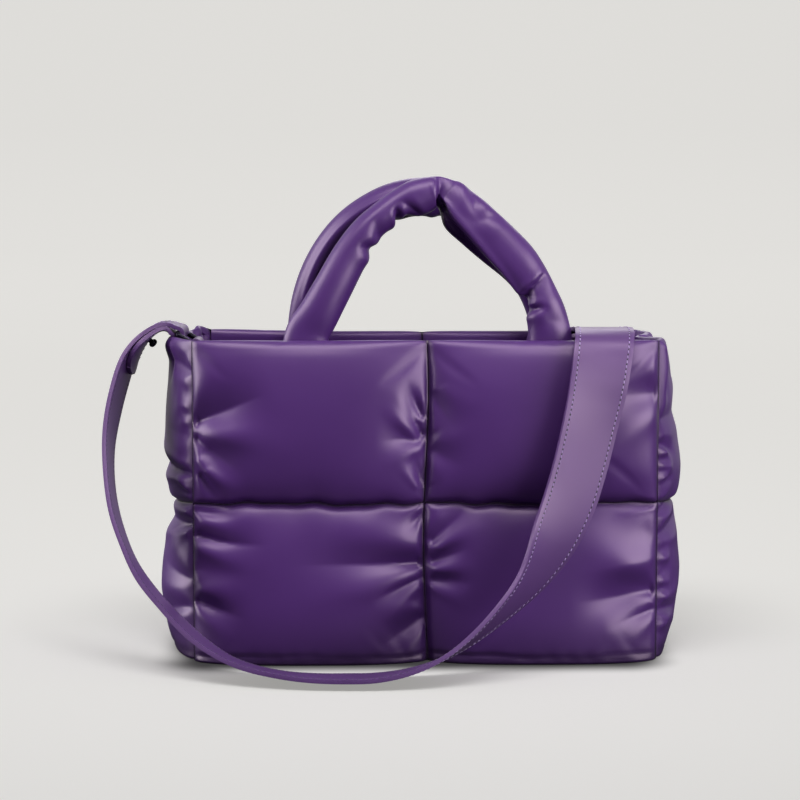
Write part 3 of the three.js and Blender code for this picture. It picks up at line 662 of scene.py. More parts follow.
def hem_relief(a, z):
    """The puckered hem round the bag's foot, at points a across and z up, both in millimetres."""
    line = HEM_HEIGHT_MM + 0.9 * np.sin(a / 21) + 0.5 * np.sin(a / 7.3 + 1)
    groove = np.exp(-(((z - line) / HEM_GROOVE_MM) ** 2)) * (0.6 + 0.4 * np.sin(a / 31 + 0.6))
    gathers = np.sin(a / 2.9 + 2 * np.sin(a / 17))
    puckers = gathers * np.exp(-(((z - line) / HEM_PUCKER_REACH_MM) ** 2))
    return (HEM_PUCKER_MM * puckers - HEM_GROOVE_MM * groove) * MM


class Wall:
    """What the padded walls share. A place on a wall is u across it, from -1 to 1, and v up it, from 0
    at the floor to 1 at the rim; s also counts the rim's roll, whose inner edge is at 1."""

    def __init__(self, name, way, creases, depth_axis, plane, half, columns):
        self.name = name
        self.way = way
        self.creases = creases
        self.depth_axis = depth_axis
        self.plane = plane
        self.half = half
        self.columns = columns

    def sway(self, height):
        """How far the upright seam stands to one side."""
        return np.zeros_like(height)

    def place(self, u, depth, height):
        """Points in the bag's frame."""
        points = np.empty((len(u), 3))
        points[:, 1 - self.depth_axis] = u * self.half + self.sway(height) * (1 - np.abs(u))
        points[:, self.depth_axis] = self.way * (self.plane + depth)
        points[:, 2] = height
        return points

    def across(self, points):
        """How far across the wall points are."""
        return points[:, 1 - self.depth_axis]

    def outward(self, points):
        """How far out of the sewn edges points stand."""
        return self.way * points[:, self.depth_axis] - self.plane

    def push(self, points, relief):
        """Moves points outwards."""
        points[:, self.depth_axis] += self.way * relief

    def seam_distance(self, points):
        """Distance of points from the nearest seam."""
        across = self.across(points)
        level = self.level(np.clip(across / self.half, -1, 1))
        return np.minimum(self.half - np.abs(across), np.abs(points[:, 2] - level))

    def sewn(self, u, s):
        """Which places the stuffing can't move."""
        edges = (np.abs(u) > 0.9999) | (s < 1e-4) | (s > 0.9999)
        return edges | (np.abs(s - ROLL_START / 2) < 1e-4)

    def skin(self, u, s, share):
        """Points of the outer skin, its cells blown up to a share of their height."""
        v = np.minimum(s / ROLL_START, 1)
        outer, inner = self.faces(u, v, share)
        depth, height = rolled(outer, inner, self.edge(u), s)
        on_roll = s > ROLL_START
        depth = np.where(on_roll, depth, outer)
        height = np.where(on_roll, height, wall_height(v, self.level(u), self.edge(u)))
        return self.place(u, depth, height)

    def lining(self, u, v):
        """Points of the lining."""
        inner = self.faces(u, v, 1)[1]
        return self.place(u, inner, wall_height(v, self.level(u), self.edge(u)))


class PanelWall(Wall):
    """The front or the back wall: four cells, sewn round the edge and across the middle."""

    def __init__(self, name, way, creases, rim_sag, tight):
        half_width = (FRONT_HIGH.x - FRONT_LOW.x) / 2
        super().__init__(name, way, creases, 1, PANEL_PLANE, half_width, PANEL_COLUMNS)
        self.rim_sag = rim_sag
        self.tight = tight

    def faces(self, u, v, share):
        """Depths of the skin and the lining, outwards from the sewn edges."""
        sizes = bpy.context.scene.handbag_sizes
        swing = PANEL_SWING * (1 - u * u) * np.sin(np.pi * v)
        tight = smoothstep(self.tight * u, 0.3, 0.7) * smoothstep(v, 0.5, 0.62)
        fullness = 2.8 + smoothstep(v, 0.8, 1.0) + 2.0 * tight
        cell = puff(across_cell(u), fullness) * puff(up_cell(v))
        sag = FLOOR_SAG * puff(across_cell(u)) * (1 - smoothstep(v, 0, 0.2))
        outer = swing + HALF_WALL + share * sizes.puff * cell + sag
        inner = swing - HALF_WALL - LINING_PUFF * swell(across_cell(u)) * swell(up_cell(v))
        return outer, inner

    def edge(self, u):
        """Height of the rim under its roll."""
        return RIM_EDGE - self.rim_sag * (1 - u * u)

    def level(self, u):
        """Height of the level seam, which wavers."""
        wave = 0.6 * np.sin(9 * u + 1) + 0.7 * np.sin(23 * u) + 0.5 * np.sin(41 * u + 2)
        return bpy.context.scene.handbag_sizes.seam_height + wave * MM * (1 - u ** 8)

    def sway(self, height):
        """How far the upright seam stands to one side."""
        return 1.8 * MM * np.sin(height / (36 * MM) + 2.2)

    def seam_distance(self, points):
        """Distance of points from the nearest seam, the upright one included."""
        u = np.clip(points[:, 0] / self.half, -1, 1)
        upright = np.abs(points[:, 0] - self.sway(points[:, 2]) * (1 - np.abs(u)))
        return np.minimum(super().seam_distance(points), upright)

    def sewn(self, u, s):
        """Which places the stuffing can't move."""
        return super().sewn(u, s) | (np.abs(u) < 1e-4)


class GussetWall(Wall):
    """A side wall: two cells, bowed out of the corner seams."""

    def __init__(self, name, way, creases, bows, dip, pinch, gather, peak):
        super().__init__(name, way, creases, 0, GUSSET_PLANE, GUSSET_HALF_SPAN, GUSSET_COLUMNS)
        self.bows = np.array(bows)
        self.dip = dip
        self.pinch = pinch
        self.gather = gather
        self.peak = peak

    def seam(self, u, v):
        """How far the wall's middle bows out of the corner seams."""
        bow = np.interp(v, self.bows[:, 0], self.bows[:, 1]) * MM
        pinch = self.pinch * smoothstep(v, 0.72, 1.0) * np.exp(-((u / 0.35) ** 2))
        rear = smoothstep(u, 0.25, 0.5) * (1 - smoothstep(u, 0.9, 1.0))
        gathers = self.gather * np.sin(GATHER_TURNS * u) * rear * smoothstep(v, 0.7, 1.0)
        return bow * (1 - u * u) - pinch + gathers

    def faces(self, u, v, share):
        """Depths of the skin and the lining, outwards from the sewn edges."""
        sizes = bpy.context.scene.handbag_sizes
        t = (u + 1) / 2
        seam = self.seam(u, v)
        outer = seam + HALF_WALL + share * sizes.gusset_puff * puff(t) * puff(up_cell(v))
        inner = seam - HALF_WALL - LINING_PUFF * swell(t) * swell(up_cell(v))
        return outer, inner

    def edge(self, u):
        """Height of the rim under its roll."""
        peak = self.peak * np.exp(-(((u - 0.86) / 0.1) ** 2))
        return RIM_EDGE - self.dip * (1 - smoothstep(np.abs(u), 0.3, 0.6)) + peak

    def level(self, u):
        """Height of the level seam, which sags in the middle."""
        return bpy.context.scene.handbag_sizes.seam_height - 5 * MM * (1 - u * u)


def left_gusset():
    """The left side wall, gathered and peaked towards its rear corner."""
    return GussetWall("left_gusset", -1, LEFT_CREASES, LEFT_BOWS,
                      dip=1 * MM, pinch=0, gather=1.8 * MM, peak=4 * MM)


def right_gusset():
    """The right side wall, pinched in at the middle of its rim."""
    return GussetWall("right_gusset", 1, RIGHT_CREASES, RIGHT_BOWS,
                      dip=0, pinch=16 * MM, gather=1.2 * MM, peak=0)


def turn_out(skin, shape):
    """Turns the skin's faces the way the stuffing pushes."""
    middle = skin.data.polygons[len(skin.data.polygons) // 3]
    away = shape.place(np.zeros(1), np.ones(1), np.zeros(1))[0]
    if Vector(away).dot(middle.normal) < 0:
        skin.data.flip_normals()


def stuff(skin, sewn):
    """Blows the skin up between its sewn lines by cloth simulation and keeps the result."""
    only(skin)
    group = skin.vertex_groups.new(name="sewn")
    group.add([int(i) for i in np.flatnonzero(sewn)], 1.0, "REPLACE")
    cloth = skin.modifiers.new("stuffing", "CLOTH")
    for key, value in CLOTH_SETTINGS.items():
        setattr(cloth.settings, key, value)
    cloth.settings.vertex_group_mass = group.name
    cloth.settings.effector_weights.gravity = 0
    cloth.collision_settings.use_collision = False
    cloth.point_cache.frame_start = 1
    cloth.point_cache.frame_end = STUFFING_FRAMES
    scene = bpy.context.scene
    for number in range(1, STUFFING_FRAMES + 1):
        scene.frame_set(number)
    only(skin)
    bpy.ops.object.modifier_apply(modifier=cloth.name)
    scene.frame_set(1)
    skin.vertex_groups.clear()


def cap_reach(points, shape, u, s):
    """Keeps the stuffed skin near its cell's height."""
    most = shape.faces(u, np.minimum(s / ROLL_START, 1), 1.0)[0] + MOST_PROUD
    excess = np.maximum(shape.outward(points) - most, 0)
    shape.push(points, -excess)


def make_skin(shape):
    """A wall's outer skin, stuffed."""
    skin = start_grid(shape.name + "_padding", shape.columns, WALL_ROWS + ROLL_ROWS)
    grid = corners(skin)
    u = grid[:, 0]
    s = (grid[:, 1] + 1) / 2
    set_corners(skin, shape.skin(u, s, STUFFING_START))
    turn_out(skin, shape)
    stuff(skin, shape.sewn(u, s))
    points = corners(skin)
    cap_reach(points, shape, u, s)
    set_corners(skin, points)
    note(skin, "up", s)
    return skin


def press_creases(skin, shape):
    """Presses the seams' grooves, the creases and the hem into a stuffed skin."""
    points = corners(skin)
    on_wall = noted(skin, "up") < ROLL_START + CREASED_ROLL
    seam = np.maximum(shape.seam_distance(points), 0)
    full = smoothstep(np.minimum(seam, points[:, 2]), CREASES_BEGIN, CREASES_FULL)
    groove = GROOVE_DEPTH * np.exp(-((seam / GROOVE_WIDTH) ** 2))
    across = shape.across(points) / MM
    height = points[:, 2] / MM
    relief = crease_relief(shape.creases, across, height) + hem_relief(across, height)
    shape.push(points, (relief * full - groove) * on_wall)
    set_corners(skin, points)


def line_wall(skin, shape):
    """Sews the lining into the skin's edge."""
    lining = start_grid(shape.name + "_lining", 2 * shape.columns, 2 * (WALL_ROWS + ROLL_ROWS))
    grid = corners(lining)
    set_corners(lining, shape.lining(grid[:, 0], (grid[:, 1] + 1) / 2))
    only(skin)
    lining.select_set(True)
    bpy.ops.object.join()
    select_open_edges(skin)
    bpy.ops.mesh.bridge_edge_loops()
    bpy.ops.object.mode_set(mode="OBJECT")
    weld(skin, 0.02 * MM)


def paint_wall_shade(wall, shape):
    """Keeps how much shade is painted at each corner of a wall: in its seams and towards the floor."""
    points = corners(wall)
    height = points[:, 2] / MM
    painted_shade = np.exp(-np.maximum(shape.seam_distance(points), 0) / SEAM_PAINTED_SHADE)
    painted_foot_shade = sum(share * (1 - smoothstep(height, low, high)) for share, low, high in HEM_PAINTED_SHADES)
    # The stronger painted shade is kept under the name 'seam', which darkens the leather's colour
    note(wall, "seam", np.maximum(painted_shade, painted_foot_shade))


def make_wall(shape):
    """One padded wall: skin, stuffing, creases, lining and finish."""
    wall = make_skin(shape)
    refine(wall)
    press_creases(wall, shape)
    line_wall(wall, shape)
    paint_wall_shade(wall, shape)
    finish_piece(wall, "wall_leather", "puffer_leather", shape.name)


def make_base(name, left, right):
    """The flat base inside the four walls, with softened edges."""
    base = start_grid(name + "_pad", 24, 12)
    grid = corners(base)
    u = grid[:, 1]
    left_end, right_end = (GUSSET_PLANE + side.seam(u, np.zeros_like(u)) - HALF_WALL - BASE_GAP
                           for side in (left, right))
    x = np.where(grid[:, 0] < 0, grid[:, 0] * left_end, grid[:, 0] * right_end)
    points = np.stack([x, u * GUSSET_HALF_SPAN, np.full_like(u, BASE_THICKNESS / 2)], axis=1)
    set_corners(base, points)
    apply_modifier(base, "SOLIDIFY", thickness=BASE_THICKNESS, offset=0)
    soften(base, BASE_EDGE)
    weld(base)
    finish_piece(base, "wall_leather", "puffer_leather", name)


# Handles


def smooth_rows(rows, steps):
    """A smooth curve through rows whose first three columns are a place: several points a row."""
    rows = np.array(rows, dtype=float)
    first = 2 * rows[0] - rows[1]
    last = 2 * rows[-1] - rows[-2]
    padded = np.vstack([first, rows, last])
    out = []
    for i in range(len(rows) - 1):
        p0, p1, p2, p3 = padded[i:i + 4]
        pairs = ((p0, p1), (p1, p2), (p2, p3))
        gaps = [max(np.linalg.norm((b - a)[:3]) ** 0.5, 1e-6) for a, b in pairs]
        t0, t1 = 0.0, gaps[0]
        t2, t3 = t1 + gaps[1], t1 + gaps[1] + gaps[2]
        for t in np.linspace(t1, t2, steps, endpoint=False):
            a1 = (t1 - t) / (t1 - t0) * p0 + (t - t0) / (t1 - t0) * p1
            a2 = (t2 - t) / (t2 - t1) * p1 + (t - t1) / (t2 - t1) * p2
            a3 = (t3 - t) / (t3 - t2) * p2 + (t - t2) / (t3 - t2) * p3
            b1 = (t2 - t) / (t2 - t0) * a1 + (t - t0) / (t2 - t0) * a2
            b2 = (t3 - t) / (t3 - t1) * a2 + (t - t1) / (t3 - t1) * a3
            out.append((t2 - t) / (t2 - t1) * b1 + (t - t1) / (t2 - t1) * b2)
    out.append(rows[-1])
    return np.array(out)


def tangents(points):
    """Directions along a row of points."""
    return unit(np.gradient(points, axis=0))


def handle_relief(creases, section, angle):
    """Height of a handle's creases, millimetres, at sections and angles."""
    relief = np.zeros_like(section)
    for place, middle, spread, width, depth, skew, lean in creases:
        turned = (angle - middle + 180) % 360 - 180
        across = (section - place - skew * turned / 360) / width
        window = np.clip(1 - (turned / spread) ** 2, 0, 1) ** 0.7
        if lean:
            valley = np.where(across > 0, np.exp(-0.9 * across), np.exp(-((across / 0.22) ** 2)))
            ridge = 0.14 * np.exp(-(((across + 0.8) / 0.6) ** 2))
        else:
            valley = 0.4 * np.exp(-across ** 2) + 0.6 * np.exp(-1.8 * np.abs(across))
            ridge = 0.28 * np.exp(-((np.abs(across) - 1.9) ** 2))
        relief += depth * window * (ridge - valley)
    return relief


def handle_seam(seam, section, angle):
    """The lengthwise seam's height, millimetres, and how far a place lies in the shade painted along the
    handle's underside below the seam.
    """
    share = (section - seam.first) / (seam.last - seam.first)
    line = seam.first_angle + (seam.last_angle - seam.first_angle) * np.clip(share, 0, 1) ** 1.5
    present = smoothstep(share, 0.0, 0.1) * (1 - smoothstep(share, 0.9, 1.0))
    below = line - angle
    ridge = np.exp(-((below / 9) ** 2)) - 0.9 * np.exp(-(((below - 34) / 26) ** 2))
    painted_underside_shade = smoothstep(below, 2, 16) * (1 - smoothstep(below, 110, 150))
    return seam.proud * present * ridge, present * painted_underside_shade


def make_handle(name, rows, creases, seam):
    """A padded tube through its sections, with its ends closed."""
    path = smooth_rows(rows, HANDLE_STEPS)
    along = tangents(path[:, :3])
    outward = unit(np.cross(along, np.array([0.0, 1.0, 0.0])))
    depth = np.cross(outward, along)
    tube = start_grid(name + "_padding", HANDLE_SIDES, len(path) - 1)
    grid = corners(tube)
    step = np.rint((grid[:, 1] + 1) / 2 * (len(path) - 1)).astype(int)
    angle = (grid[:, 0] + 1) * 180
    turn = np.radians(angle)
    section = step / HANDLE_STEPS
    ridge, painted_underside_shade = handle_seam(seam, section, angle)
    relief = handle_relief(creases, section, angle) + ridge
    reach = np.where(np.cos(turn) > 0, path[step, 3], path[step, 4])
    rounded = [np.sign(w) * np.abs(w) ** 0.9 for w in (np.cos(turn), np.sin(turn))]
    points = path[step, :3]
    points = points + outward[step] * ((reach + relief) * rounded[0])[:, None]
    points = points + depth[step] * ((path[step, 5] + relief) * rounded[1])[:, None]
    set_corners(tube, points * MM)
    # Painted shade along the handle's underside, kept under the name 'seam', which darkens the leather's
    # colour
    note(tube, "seam", HANDLE_PAINTED_SHADE * painted_underside_shade)
    weld(tube, 0.01 * MM)
    select_open_edges(tube)
    bpy.ops.mesh.fill_holes(sides=0)
    bpy.ops.mesh.select_all(action="SELECT")
    bpy.ops.mesh.normals_make_consistent(inside=False)
    bpy.ops.object.mode_set(mode="OBJECT")
    refine(tube)
    finish_piece(tube, "wall_leather", "puffer_leather", name)


# Strap and hardware


class Band:
    """A flat band's line: places, directions along and across it, and where its face looks."""

    def __init__(self, rows, steps):
        path = smooth_rows(rows, steps)
        self.points = path[:, :3] * MM
        self.along = tangents(self.points)
        self.across = unit(np.cross(path[:, 3:6], self.along))
        self.look = np.cross(self.along, self.across)
        lengths = np.linalg.norm(np.diff(self.points, axis=0), axis=1)
        self.run = np.concatenate([[0], np.cumsum(lengths)])

    def breadth(self, rounding):
        """The share of the full width at each point: less near a rounded end."""
        if rounding == 0:
            return np.ones(len(self.run))
        nearest = np.minimum(self.run, self.run[-1] - self.run)
        return np.maximum(1 - (1 - np.clip(nearest / rounding, 0, 1)) ** 2.4, 0.12) ** 0.5

    def at(self, distance):
        """The band's frame at distances along it."""
        def read(column):
            return np.stack([np.interp(distance, self.run, column[:, k]) for k in range(3)], axis=1)
        return read(self.points), unit(read(self.along)), unit(read(self.across)), unit(read(self.look))


def make_band(name, band, width, thickness, columns, edge, rounding=0):
    """A flat band of leather along its line, with softened edges and, if asked, rounded ends."""
    rows = len(band.points) - 1
    strip = start_grid(name + "_band", columns, rows)
    grid = corners(strip)
    step = np.rint((grid[:, 1] + 1) / 2 * rows).astype(int)
    reach = grid[:, 0] * width / 2 * band.breadth(rounding)[step]
    set_corners(strip, band.points[step] + band.across[step] * reach[:, None])
    apply_modifier(strip, "SOLIDIFY", thickness=thickness, offset=0, use_even_offset=True)
    soften(strip, edge)
    weld(strip)
    finish_piece(strip, "band_leather", "strap_leather", name)
    return strip


def bar_turn(bar, thickness, start, end, toward):
    """Rows of a band's half turn round a ring's bar, millimetres."""
    radius = bpy.context.scene.handbag_sizes.ring_wire / MM + BAR_GAP_MM + thickness / 2
    rows = []
    for degrees in np.linspace(start, end, BAR_TURN_ROWS):
        turn = math.radians(degrees)
        look = toward * math.cos(turn) + Vector((0, 0, math.sin(turn)))
        rows.append((*(bar / MM + look * radius), *look))
    return rows


def strap_band():
    """The whole strap's line, from the right turned-back end to the left one."""
    thickness = bpy.context.scene.handbag_sizes.strap_thickness / MM
    right = bar_turn(RIGHT_BAR, thickness, -90, 90, Vector((0, 1, 0)))
    left = bar_turn(LEFT_BAR, thickness, 90, -90, Vector((1, 0, 0)))
    return Band([*RIGHT_RETURN, *right, *STRAP_RUN, *left, *LEFT_RETURN], STRAP_STEPS)


def make_stitches(name, band, sizes):
    """Rows of slanted stitches on the strap's faces, and dark beads in its outer one that paint the shade
    of needle holes, as one mesh.
    """
    thread = start_ball(name, 6, 5)
    ball = corners(thread)
    bar = np.stack([np.sign(ball[:, 2]) * np.abs(ball[:, 2]) ** 0.6, ball[:, 0], ball[:, 1]], axis=1)
    places = np.arange(UNSEWN_END, band.run[-1] - UNSEWN_END, sizes.stitch_pitch)
    sets = []
    tones = []
    for edge in (-1, 1):
        for kind in STITCH_KINDS:
            point, along, across, look = band.at(places + kind.shift * sizes.stitch_pitch)
            middle = point + across * edge * (sizes.strap_width / 2 - sizes.stitch_inset)
            middle = middle + look * kind.face * (sizes.strap_thickness / 2 + kind.lift * MM)
            length = along * math.cos(STITCH_SLANT) + across * math.sin(STITCH_SLANT)
            breadth = across * math.cos(STITCH_SLANT) - along * math.sin(STITCH_SLANT)
            shape = bar * np.array(kind.size) * MM
            stitches = middle[:, None, :]
            for column, axis in enumerate((length, breadth, look)):
                stitches = stitches + shape[None, :, column, None] * axis[:, None, :]
            sets.append(stitches)
            tones.append(np.full(len(places) * len(bar), kind.tone))
    points = np.concatenate(sets).reshape(-1, 3)
    apply_modifier(thread, "ARRAY", count=len(points) // len(bar), use_relative_offset=False)
    set_corners(thread, points)
    note(thread, "tone", np.concatenate(tones))
    weld(thread, 0.0001 * MM)
    finish_piece(thread, "strap_thread", "strap_leather")
    return thread


def make_ring(name, centre, turn):
    """A rounded oblong ring of round wire."""
    wire = bpy.context.scene.handbag_sizes.ring_wire / MM
    bpy.ops.object.select_all(action="DESELECT")
    bpy.ops.mesh.primitive_torus_add(major_segments=72, minor_segments=14,
                                     major_radius=ROUND_RING_MM, minor_radius=wire)
    ring = named_primitive(name + "_wire")
    points = corners(ring)
    angle = np.arctan2(points[:, 1], points[:, 0])
    rise = np.hypot(points[:, 0], points[:, 1]) - ROUND_RING_MM
    x = np.sign(np.cos(angle)) * RING_LONG_MM * np.abs(np.cos(angle)) ** RING_SQUARENESS
    y = np.sign(np.sin(angle)) * RING_SHORT_MM * np.abs(np.sin(angle)) ** RING_SQUARENESS
    power = 2 / RING_SQUARENESS - 1
    outward = unit(np.stack([np.sign(x) * np.abs(x / RING_LONG_MM) ** power / RING_LONG_MM,
                             np.sign(y) * np.abs(y / RING_SHORT_MM) ** power / RING_SHORT_MM], axis=1))
    line = np.stack([x, y], axis=1) + outward * rise[:, None]
    set_corners(ring, np.column_stack([line, points[:, 2]]) * MM)
    ring.data.transform(Matrix.Translation(centre) @ turn)
    weld(ring)
    finish_piece(ring, "dark_plating", "dark_metal", name)


def make_tab(name, gusset, bar, size):
    """A tab doubled over a ring's bar: up the gusset's inside, over the bar and down."""
    seam = bpy.context.scene.handbag_sizes.seam_height
    middle = bar.y / MM
    u = (middle + np.array([-0.5, 0, 0.5]) * size.width) * MM / GUSSET_HALF_SPAN

    def seat(z, layer):
        """A row of one layer at a height, seated against the gusset's lining."""
        v = 0.5 + 0.5 * (z * MM - seam) / (RIM_EDGE - seam)
        reach = (GUSSET_PLANE + gusset.faces(u, np.full(3, v), 1)[1].min()) / MM
        reach -= 2 * TAB_CLEARANCE_MM + TAB_THICKNESS_MM / 2
        reach -= layer * (TAB_THICKNESS_MM + TAB_CLEARANCE_MM)
        look = -1 if layer else 1
        return (gusset.way * reach, middle, z, gusset.way * look, 0, 0)

    heights = [size.foot + (size.neck - size.foot) * share for share in (0, 0.35, 0.7, 1)]
    turn = bar_turn(bar, TAB_THICKNESS_MM, 0, 180, Vector((gusset.way, 0, 0)))
    rows = [seat(z, 0) for z in heights] + turn + [seat(z, 1) for z in reversed(heights)]
    make_band(name, Band(rows, TAB_STEPS), size.width * MM, TAB_THICKNESS_MM * MM, TAB_COLUMNS, TAB_EDGE)


def make_stud(name, band, place):
    """The strap's stud, turned from its outline and set square through the strap."""
    stud = start_ball(name + "_metal", 28, 40)
    points = corners(stud)
    outline = np.array(STUD_OUTLINE) * MM
    run = np.concatenate([[0], np.cumsum(np.linalg.norm(np.diff(outline, axis=0), axis=1))])
    polar = np.arccos(np.clip(points[:, 2], -1, 1)) / np.pi * run[-1]
    radius = np.interp(polar, run, outline[:, 0])
    height = np.interp(polar, run, outline[:, 1])
    angle = np.arctan2(points[:, 1], points[:, 0])
    spun = band.points[place] + (radius * np.cos(angle))[:, None] * band.across[place]
    spun = spun + (radius * np.sin(angle))[:, None] * band.along[place]
    set_corners(stud, spun - height[:, None] * band.look[place])
    weld(stud)
    finish_piece(stud, "dark_plating", "dark_metal", name)


# Materials


class NodeWork:
    """Adds nodes to a tree. A socket takes a plain value or another node's result."""

    def __init__(self, tree):
        self.tree = tree

    def add(self, kind, **settings):
        """A new shader node with its settings."""
        node = self.tree.nodes.new("ShaderNode" + kind)
        for key, value in settings.items():
            setattr(node, key, value)
        return node

    def feed(self, socket, value):
        """Gives a socket a plain value or another node's result."""
        if isinstance(value, bpy.types.NodeSocket):
            self.tree.links.new(value, socket)
        else:
            socket.default_value = value

    def feed_named(self, node, values):
        """Feeds several of a node's inputs by name."""
        for name, value in values.items():
            self.feed(node.inputs[name], value)

    def place(self):
        """Places in object space."""
        return self.add("TexCoord").outputs["Object"]

    def noted(self, name):
        """A number kept at the mesh's corners, 0 where a piece has none."""
        return self.add("Attribute", attribute_name=name).outputs["Fac"]

    def calculate(self, operation, *values):
        """The result of one sum."""
        node = self.add("Math", operation=operation)
        for socket, value in zip(node.inputs, values):
            self.feed(socket, value)
        return node.outputs["Value"]

    def mix(self, factor, first, second, kind="RGBA"):
        """A colour, or another kind of value, between two."""
        node = self.add("Mix", data_type=kind)
        self.feed_named(node, {"Factor": factor, "A": first, "B": second})
        return node.outputs["Result"]

    def spread(self, value, low=0.0, high=1.0, first=0.0, last=1.0, easing="LINEAR"):
        """A value carried from the range low to high into first to last, and held at its ends."""
        node = self.add("MapRange", interpolation_type=easing)
        self.feed_named(node, {"Value": value, "From Min": low, "From Max": high,
                               "To Min": first, "To Max": last})
        return node.outputs["Result"]

    def noise(self, place, scale, detail):
        """Cloudy noise over places."""
        node = self.add("TexNoise")
        self.feed_named(node, {"Vector": place, "Scale": scale, "Detail": detail})
        return node.outputs["Fac"]


def new_finish(name):
    """Makes a material and gives the work on its nodes and its shader's inputs."""
    material = bpy.data.materials.new(name)
    material.use_nodes = True
    return NodeWork(material.node_tree), material.node_tree.nodes["Principled BSDF"].inputs


def shade(colour, share):
    """A colour made darker or lighter."""
    return tuple(min(1.0, part * share) for part in colour[:3]) + (1.0,)


def leather_grain_group():
    """Fine creased grain and a slow change of tone, in object space."""
    group = bpy.data.node_groups.new("Leather grain", "ShaderNodeTree")
    for name, way in (("Scale", "INPUT"), ("Height", "OUTPUT"), ("Mottle", "OUTPUT")):
        group.interface.new_socket(name, in_out=way, socket_type="NodeSocketFloat")
    work = NodeWork(group)
    scale = group.nodes.new("NodeGroupInput").outputs["Scale"]
    outside = group.nodes.new("NodeGroupOutput")
    place = work.place()
    cells = work.add("TexVoronoi", feature="DISTANCE_TO_EDGE")
    work.feed_named(cells, {"Vector": place, "Scale": scale})
    grit = work.noise(place, scale, detail=4)
    height = work.calculate("MULTIPLY_ADD", cells.outputs["Distance"], 0.6, grit)
    work.feed_named(outside, {"Height": height, "Mottle": work.noise(place, scale=14, detail=3)})
    return group


def make_leather(name, colour, grain, scale, roughness):
    """Smooth dyed leather: satin, slightly mottled, finely grained, and glossier in its seams; its colour
    is darkened as painted shade where its noted 'seam' number is high: in seams, towards the floor and
    under the handles.
    """
    work, shader = new_finish(name)
    group = work.add("Group", node_tree=grain)
    group.inputs["Scale"].default_value = scale
    mottle = group.outputs["Mottle"]
    painted_shade = work.noted("seam")
    tone = work.mix(mottle, shade(colour, 0.82), shade(colour, 1.2))
    satin = work.spread(mottle, first=roughness - 0.05, last=roughness + 0.07)
    bump = work.add("Bump")
    work.feed_named(bump, {"Strength": 0.12, "Distance": 0.12 * MM, "Height": group.outputs["Height"]})
    # Painted shade: the colour goes towards near black where the noted 'seam' number is high
    work.feed(shader["Base Color"], work.mix(painted_shade, tone, shade(colour, 0.08)))
    work.feed(shader["Roughness"], work.mix(work.spread(painted_shade, low=0.7), satin, 0.14, kind="FLOAT"))
    work.feed(shader["Normal"], bump.outputs["Normal"])
    work.feed(shader["Specular IOR Level"], 0.7)
    work.feed(shader["Specular Tint"], (1.0, 0.78, 0.95, 1))


def make_thread(name, colour):
    """Waxed thread with a light twist, near black as painted shade where its noted tone marks a needle
    hole.
    """
    work, shader = new_finish(name)
    twist = work.noise(work.place(), scale=900, detail=2)
    fibre = work.mix(twist, shade(colour, 0.75), shade(colour, 1.2))
    # Tone 0 paints a needle hole's shade near black; tone 1 is the thread's own colour
    work.feed(shader["Base Color"], work.mix(work.noted("tone"), shade(colour, 0.02), fibre))
    work.feed(shader["Roughness"], 0.5)


def make_metal(name, colour):
    """Dark plated metal with faint handling marks."""
    work, shader = new_finish(name)
    marks = work.noise(work.place(), scale=160, detail=5)
    work.feed(shader["Base Color"], work.mix(marks, shade(colour, 0.8), shade(colour, 1.6)))
    work.feed(shader["Roughness"], work.spread(marks, first=0.16, last=0.34))
    work.feed(shader["Metallic"], 0.9)


def clear_of_painted_shadow(work, place):
    """How far a place on the floor is clear of the shadow painted round the bag's foot: 0 under the foot,
    1 well clear of it.
    """
    nowhere = (0, 0, 0)
    steps = (("ADD", FOOT_SHIFT), ("ABSOLUTE", nowhere), ("SUBTRACT", FOOT_REACH), ("MAXIMUM", nowhere))
    for operation, value in steps:
        step = work.add("VectorMath", operation=operation)
        work.feed(step.inputs[0], place)
        work.feed(step.inputs[1], value)
        place = step.outputs["Vector"]
    away = work.add("VectorMath", operation="LENGTH")
    work.feed(away.inputs[0], place)
    return work.spread(away.outputs["Value"], *FOOT_PAINTED_SHADOW, easing="SMOOTHERSTEP")


def make_floor_finish(name, colour):
    """A pale floor that glows evenly to the camera, save a shadow painted round the bag's foot where its
    colour darkens and its glow goes out; to other rays it is dark, and it glows dimly from behind the bag
    in what it mirrors.
    """
    work, shader = new_finish(name)
    place = work.place()
    parts = work.add("SeparateXYZ")
    work.feed(parts.inputs["Vector"], place)
    depth = parts.outputs["Y"]
    ray = work.add("LightPath").outputs
    # Seen by the camera and clear of the painted shadow round the bag's foot
    pale = work.calculate("MULTIPLY", ray["Is Camera Ray"], clear_of_painted_shadow(work, place))
    away = work.calculate("ABSOLUTE", work.calculate("ADD", depth, -GLOW_MIDDLE))
    even = work.spread(work.calculate("POWER", GLOW_FALL, away), first=1.0, last=0.38)
    behind = work.spread(depth, *GLOW_BEHIND, last=0.6, easing="SMOOTHSTEP")
    mirrored = work.calculate("MULTIPLY", behind, ray["Is Glossy Ray"])
    glow = work.calculate("MULTIPLY", even, work.calculate("MAXIMUM", mirrored, pale))
    # Painted shadow: round the bag's foot the floor's colour darkens and its glow goes out
    work.feed(shader["Base Color"], work.mix(pale, shade(colour, 0.12), colour))
    work.feed(shader["Emission Color"], work.mix(glow, BLACK, WARM_WHITE))
    work.feed(shader["Emission Strength"], 0.66)
    work.feed(shader["Roughness"], 0.75)


# Operators


